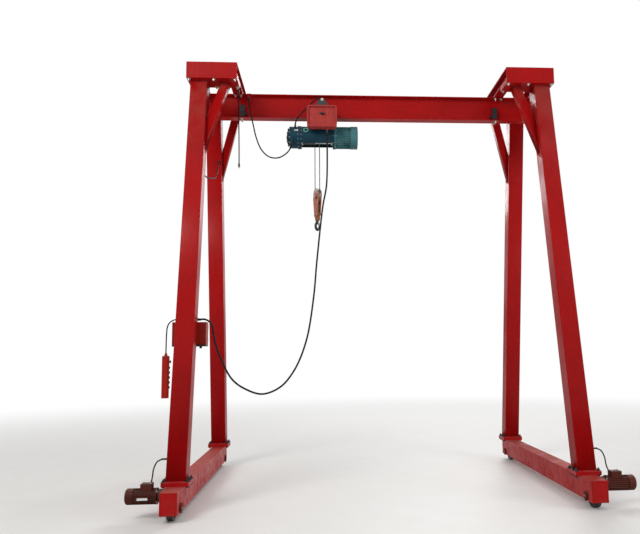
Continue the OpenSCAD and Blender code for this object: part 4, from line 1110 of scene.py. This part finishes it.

# %% [markdown]
# ## Wire rope
# Six strands are laid around each other, one full turn in about six and a half diameters. The tree draws six small
# circles on a ring, twists that section along the path and sweeps it. One piece winds the drum and rides with the
# trolley. The other hangs as two falls around the sheave, between the trolley and the hook block, and rides on
# neither.

# %% The rope tree
def rope_growth():
    tree = Growth("laid_rope", thick=0.011, lay=0.072, step=0.007)
    along = tree.node("GeometryNodeSplineParameter", {}, {}, "Length")
    line = tree.node("GeometryNodeSetCurveTilt", {}, {
        "Curve": tree.line(), "Tilt": along * (2 * pi) / tree.given("lay")})
    places, strand = (tree.circle(6, tree.given("thick") / share) for share in (3.0, 5.8))
    section = tree.node("GeometryNodeInstanceOnPoints", {}, {"Points": places, "Instance": strand})
    return tree.sweep(line, tree.node("GeometryNodeRealizeInstances", {}, {"Geometry": section}), 1.0)


laid_rope = rope_growth()


def at_hook(p):
    """A point of the hook block's own frame, which is turned about the vertical through the sheave."""
    c, s = cos(BLOCK_TURN), sin(BLOCK_TURN)
    return Vector((HOOK_X + c * p[0] - s * p[1], MID_Y + s * p[0] + c * p[1], SHEAVE_Z + p[2]))


FALL_TOP = HOIST_Z + 0.015 - SHEAVE_Z
fall = [at_hook((0, SHEAVE_R, FALL_TOP * (1 - k / 40))) for k in range(40)]
fall += [at_hook((0, SHEAVE_R * cos(pi * k / 30), -SHEAVE_R * sin(pi * k / 30))) for k in range(31)]
fall += [at_hook((0, -SHEAVE_R, FALL_TOP * k / 40)) for k in range(1, 41)]
falls = grown("rope_falls", laid_rope, lines([fall], False), rope_wire, None, "bare_steel", 50.0, thick=ROPE_D)
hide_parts("ropes")
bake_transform(falls)

# %% [markdown]
# On the drum the rope is one helix, which starts where the first fall leaves and ends at the drum's left flange. The
# other fall is dead: it ends in a socket behind a steel bar.

# %% Turns on the drum, and the dead end
LEAVE_X, DEAD_X = at_hook((0, SHEAVE_R, 0)).x, at_hook((0, -SHEAVE_R, 0)).x
WIND_R, TURN_PITCH = SHEAVE_R * cos(BLOCK_TURN), ROPE_D + 0.002
wound = (LEAVE_X + 0.829) / TURN_PITCH
helix = [(LEAVE_X - TURN_PITCH * k / 40, MID_Y + WIND_R * cos(2 * pi * k / 40),
          HOIST_Z + WIND_R * sin(2 * pi * k / 40)) for k in range(int(wound * 40) + 1)]
grown("rope_on_drum", laid_rope, lines([helix], False), rope_wire, "trolley", "bare_steel", 50.0, thick=ROPE_D,
      step=0.008)
turned("rope_socket", [(-30, 8.5), (0, 12.5), (28, 15.5), (34, 15.5), (40, 11)],
       [((DEAD_X, MID_Y - WIND_R, HOIST_Z - 0.068), UP)], zinc, "trolley", "bare_steel", 20)
slabs("rope_anchor", [((DEAD_X - 0.02, MID_Y - 0.119, HOIST_Z - 0.046),
                       (DEAD_X + 0.02, MID_Y - 0.07, HOIST_Z - 0.028))],
      black_steel, "trolley", "dark_steel", 0.002)
print(round(wound, 1), "turns of rope on the drum")

# %% [markdown]
# ## Hook block and hook
# The block is two cheek plates with the sheave between them. Bolts hold the plates apart, a bright strap keeps the
# rope in its groove, and the swivel crosspiece carries the hook.

# %% Details of the hook block
OUT_OF_BLOCK = Vector((cos(BLOCK_TURN), sin(BLOCK_TURN), 0))
cheek_bolts = [(at_hook((face * 0.022, y, z)), face * OUT_OF_BLOCK) for face in (-1, 1) for y, z in (
    (0.07, 0.052), (-0.07, 0.052), (0.066, -0.085), (-0.066, -0.085), (0.046, -0.222), (-0.046, -0.222))]
bolts("cheek_bolts", cheek_bolts, "hook_block", 12, 13, 6, 2)
axle_ends = [(at_hook((face * 0.034, 0, 0)), face * OUT_OF_BLOCK) for face in (-1, 1)]
bolts("sheave_axle_nuts", axle_ends, "hook_block", 13, 30, 12, 2, 5)
bent_strip("rope_guard", (42, 138), 24, (0.1015, 0.104), 0.0245, at_hook, pale_alloy, "hook_block", "bare_steel",
           radius=0.0008)
print(len(cheek_bolts), "cheek bolts")

# %% [markdown]
# The hook is forged: its section is deepest under the load and thins out to the point. It could be bent from a round
# bar, but it would look like wire. Rings of a rounded wedge are swept along the centre line instead, so its shape
# stays smooth. A turned housing below the crosspiece carries it, and a nut closes its shank.

# %% The forged hook
HOOK_DROP, HOOK_TURN, THROAT, BOW = 0.365, BLOCK_TURN + radians(40), 0.027, 0.042
BOWL_START, BOWL_SWEEP = 130, 205
NECK_R = -BOW * cos(radians(BOWL_START)) / (1 + cos(radians(BOWL_START)))
NECK_Z = (BOW + NECK_R) * sin(radians(BOWL_START))


def in_hook(across, up, out=0.0):
    """A point in the plane of the hook, measured from the middle of its bowl."""
    return Vector((HOOK_X + across * cos(HOOK_TURN) - out * sin(HOOK_TURN),
                   MID_Y + across * sin(HOOK_TURN) + out * cos(HOOK_TURN), SHEAVE_Z - HOOK_DROP + up))


def hook_line():
    """Centre line from the shank to the point: (across, up, heading, depth, width)."""
    line = [(0.0, 0.15, -pi / 2, 0.028, 0.028), (0.0, 0.12, -pi / 2, 0.028, 0.028)]
    for k in range(9):
        a = radians((BOWL_START - 180) * k / 8)
        line.append((-NECK_R + NECK_R * cos(a), NECK_Z + NECK_R * sin(a), a - pi / 2,
                     0.028 + 0.003 * k / 8, 0.028 - 0.002 * k / 8))
    for k in range(1, 26):
        a = radians(BOWL_START + BOWL_SWEEP * k / 25)
        load = sin(pi * min(1, k / 19)) if k < 19 else 0.0
        depth = 0.031 + 0.006 * load - 0.006 * max(0, k - 17) / 8
        line.append(((THROAT + depth / 2) * cos(a), (THROAT + depth / 2) * sin(a), a + pi / 2, depth,
                     0.026 - 0.004 * max(0, k - 15) / 10))
    x, z, ahead = line[-1][:3]
    for k in range(1, 8):
        t = k / 7
        far = 0.037 * t
        line.append((x + far * cos(ahead) + 0.006 * t * t * cos(ahead - pi / 2),
                     z + far * sin(ahead) + 0.006 * t * t * sin(ahead - pi / 2), ahead - 0.25 * t,
                     0.025 - 0.012 * t ** 1.5, 0.022 - 0.009 * t))
    return line


def forged_hook(name, sides=28):
    rings, line = [], hook_line()
    for i, (across, up, ahead, depth, width) in enumerate(line):
        inward = (cos(ahead + pi / 2), sin(ahead + pi / 2))
        wedge = 0.0 if i < 3 else min(1.0, (i - 2) / 8)
        ring = []
        for a in turns(sides):
            c, s = cos(a), sin(a)
            c = copysign(abs(c) ** (1 - 0.18 * wedge), c)
            s = copysign(abs(s) ** (1 - 0.12 * wedge), s)
            reach, thick = depth / 2 * c, width / 2 * (1 + 0.22 * wedge * c)
            ring.append(in_hook(across + reach * inward[0], up + reach * inward[1], thick * s))
        rings.append(ring)
    points, faces = skin(rings)
    # The last face was flat. It gives way to a small point
    faces.pop()
    across, up, ahead = line[-1][:3]
    point, last = len(points), len(points) - sides
    points.append(in_hook(across + 0.005 * cos(ahead), up + 0.005 * sin(ahead)))
    faces += [(last + k, point, last + (k + 1) % sides) for k in range(sides)]
    return solid_of(name, points, faces, black_steel, "hook")


hook = forged_hook("forged_hook")
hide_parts("hook")
SWIVEL = [((HOOK_X, MID_Y, SHEAVE_Z - 0.24), UP)]
turned("hook_shank", [(-10, 14), (66, 14), (76, 12.5), (78, 11)], SWIVEL, bare_steel, "hook", "dark_steel", 28)
turned("swivel_housing", [(-60, 23.5), (-58, 26.2), (-34, 30.5), (-12, 34.5), (-4, 35), (-2, 33)], SWIVEL, block_orange,
       "hook", "orange_paint", 36)
turned("hook_nut", [(50.3, 13.2), (51.2, 14.3), (69, 14.3), (70, 13.2)], SWIVEL, zinc, "hook", "dark_steel", 6)
print("hook", len(hook.data.polygons), "faces")

# %% [markdown]
# A spring latch closes the throat. It is folded sheet: a flat tongue from the shank to the point, with two side walls
# near its pin.

# %% The safety latch
latch_low, latch_high = (0.05, 0.0085), (-0.001, 0.056)
fold = Vector((latch_low[0] - latch_high[0], 0, latch_low[1] - latch_high[1]))
latch_long, latch_lean = fold.length, atan2(fold.z, fold.x)


def in_latch(p):
    """A point along the latch, above it and beside it."""
    return in_hook(latch_high[0] + p[0] * cos(latch_lean) - p[1] * sin(latch_lean),
                   latch_high[1] + p[0] * sin(latch_lean) + p[1] * cos(latch_lean), p[2])


slabs("hook_latch", [((-0.006, 0.003, -0.0165), (latch_long, 0.0055, 0.0165)),
                     ((-0.01, -0.012, -0.017), (latch_long * 0.55, 0.005, -0.015)),
                     ((-0.01, -0.012, 0.015), (latch_long * 0.55, 0.005, 0.017))],
      zinc, "hook", "bare_steel", 0.0007, in_latch)
pin = (in_latch((-0.002, -0.004, 0)), in_latch((0, 0, 1)) - in_latch((0, 0, 0)))
turned("latch_pin", [(-20, 3.5), (20, 3.5)], [pin], zinc, "hook", "bare_steel", 14)
print("latch", round(1000 * latch_long), "mm")

# %% [markdown]
# ## Trolley, control box and hanger
# Nuts close the trolley's axles. The control box has a lid with captive screws in its rim and a wing handle in the
# middle, which is the dark mark in the photograph. A steel hanger above it ends in one bright bolt.

# %% Trolley and control box
axle_nuts = [((TROLLEY_X + x, MID_Y + y * 0.104, GIRDER_Z + 0.0533), (0, y, 0))
             for x in (-0.095, 0.095) for y in (-1, 1)]
bolts("axle_nuts", axle_nuts, "trolley", 15, 27, 13, stub=6)
LID_Y, LID_Z = BOX_BACK - BOX_D, BOX_Z + BOX_H / 2
rim_screws = [((TROLLEY_X + x, LID_Y, LID_Z + z), FRONT)
              for x, z in ((-0.171, 0.07), (-0.171, -0.07), (0.171, 0.07), (0.171, -0.07),
                           (-0.09, 0.123), (0.09, 0.123), (-0.09, -0.123), (0.09, -0.123))]
bolts("lid_screws", rim_screws, "trolley", 16, 9, 3, 1, material=orange, slot="orange_paint")
PANEL_Y, WING_Z = BOX_BACK - 0.1256, LID_Z + 0.03
turned("lid_handle_base", [(-1, 17), (5, 17), (8, 13), (16, 10.5), (18, 9)],
       [((TROLLEY_X + 0.004, PANEL_Y, WING_Z), FRONT)], black_plastic, "trolley", "dark_steel", 28)
slabs("lid_handle", [((TROLLEY_X - 0.028, PANEL_Y - 0.026, WING_Z - 0.008),
                      (TROLLEY_X + 0.036, PANEL_Y - 0.013, WING_Z + 0.008))],
      black_plastic, "trolley", "dark_steel", 0.004)
bolts("hanger_bolt", [((TROLLEY_X + 0.002, -0.1, BOX_Z + BOX_H + 0.094), FRONT)], "trolley", 17, 19, 9)

# %% [markdown]
# ## Cabinet and pendant
# The cabinet's door is on the side away from the camera, with two hinges and a lock. Below, a black gland plate
# carries blanking plugs.

# %% Details of the cabinet
DOOR_Y = CABINET_BACK + CABINET_D + 0.006
hinges = [((CABINET_X + 0.169, DOOR_Y - 0.004, CABINET_Z + z), UP) for z in (0.045, 0.18)]
turned("door_hinges", [(-1, 6), (20, 6), (20.5, 5), (21.5, 6), (44, 6)], hinges, zinc, "gantry", "bare_steel", 18)
turned("door_lock", [(-1, 13), (3, 13), (5, 11), (5, 6), (3.5, 5)],
       [((CABINET_X - 0.135, DOOR_Y, CABINET_Z + 0.125), (0, 1, 0))], zinc, "gantry", "bare_steel", 28)
slabs("gland_plate", [((CABINET_X - 0.1745, CABINET_BACK + 0.001, CABINET_Z - 0.003),
                       (CABINET_X + 0.1745, CABINET_BACK + CABINET_D - 0.001, CABINET_Z + 0.015))],
      black_plastic, "gantry", "cable_rubber", 0.004)
plugs = [((CABINET_X + x, CABINET_BACK + CABINET_D / 2, CABINET_Z - 0.002), DOWN) for x in (-0.11, -0.04, 0.04, 0.11)]
turned("blanking_plugs", [(0, 15), (9, 15), (9.5, 12.5), (18, 12.5), (22, 9)], plugs, black_plastic, "gantry",
       "cable_rubber", 20)
print(len(hinges), "hinges and", len(plugs), "plugs")

# %% [markdown]
# The pendant's buttons sit in a row on the side that faces the leg: a mushroom to stop, then five under rubber boots.
# Six screws close its shell from the front.

# %% Buttons of the pendant
boot = [(-1, 15), (2, 15), (3, 12.5), (8, 11.5), (9.5, 9.5), (10, 5)]
buttons = [((PENDANT_X + 0.035, PENDANT_Y, PENDANT_Z - down), RIGHT)
           for down in (0.06, 0.12, 0.17, 0.22, 0.27, 0.32)]
turned("pendant_buttons", boot, buttons[2:], black_plastic, "gantry", "cable_rubber")
turned("pendant_start_button", boot, buttons[1:2], green_plastic, "gantry", "cable_rubber")
turned("pendant_stop_button", [(-1, 9.5), (6, 8.5), (8, 15), (13, 16.5), (17, 13), (18.5, 6)], buttons[:1],
       red_plastic, "gantry", "red_plastic", 28)
shell_screws = [((PENDANT_X + x, PENDANT_Y - 0.028, PENDANT_Z - z), FRONT) for x in (-0.024, 0.024)
                for z in (0.025, 0.215, 0.405)]
turned("pendant_screws", [(-1, 4), (0.8, 4), (1.4, 3), (0.6, 1.6)], shell_screws, black_steel, "gantry",
       "bare_steel", 14)
print("pendant has", len(buttons), "buttons")

# %% [markdown]
# Last, the growth of the size over all since the CAD model is printed. It has grown by the bolts, guards and beads
# that stand out of the solids.

# %% How much the size over all has grown
new_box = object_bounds()
grown_by = [round(1000 * (a - b), 1) for a, b in zip(new_box[1] - new_box[0], cad_box[1] - cad_box[0])]
print("the scene is larger by", grown_by, "mm")
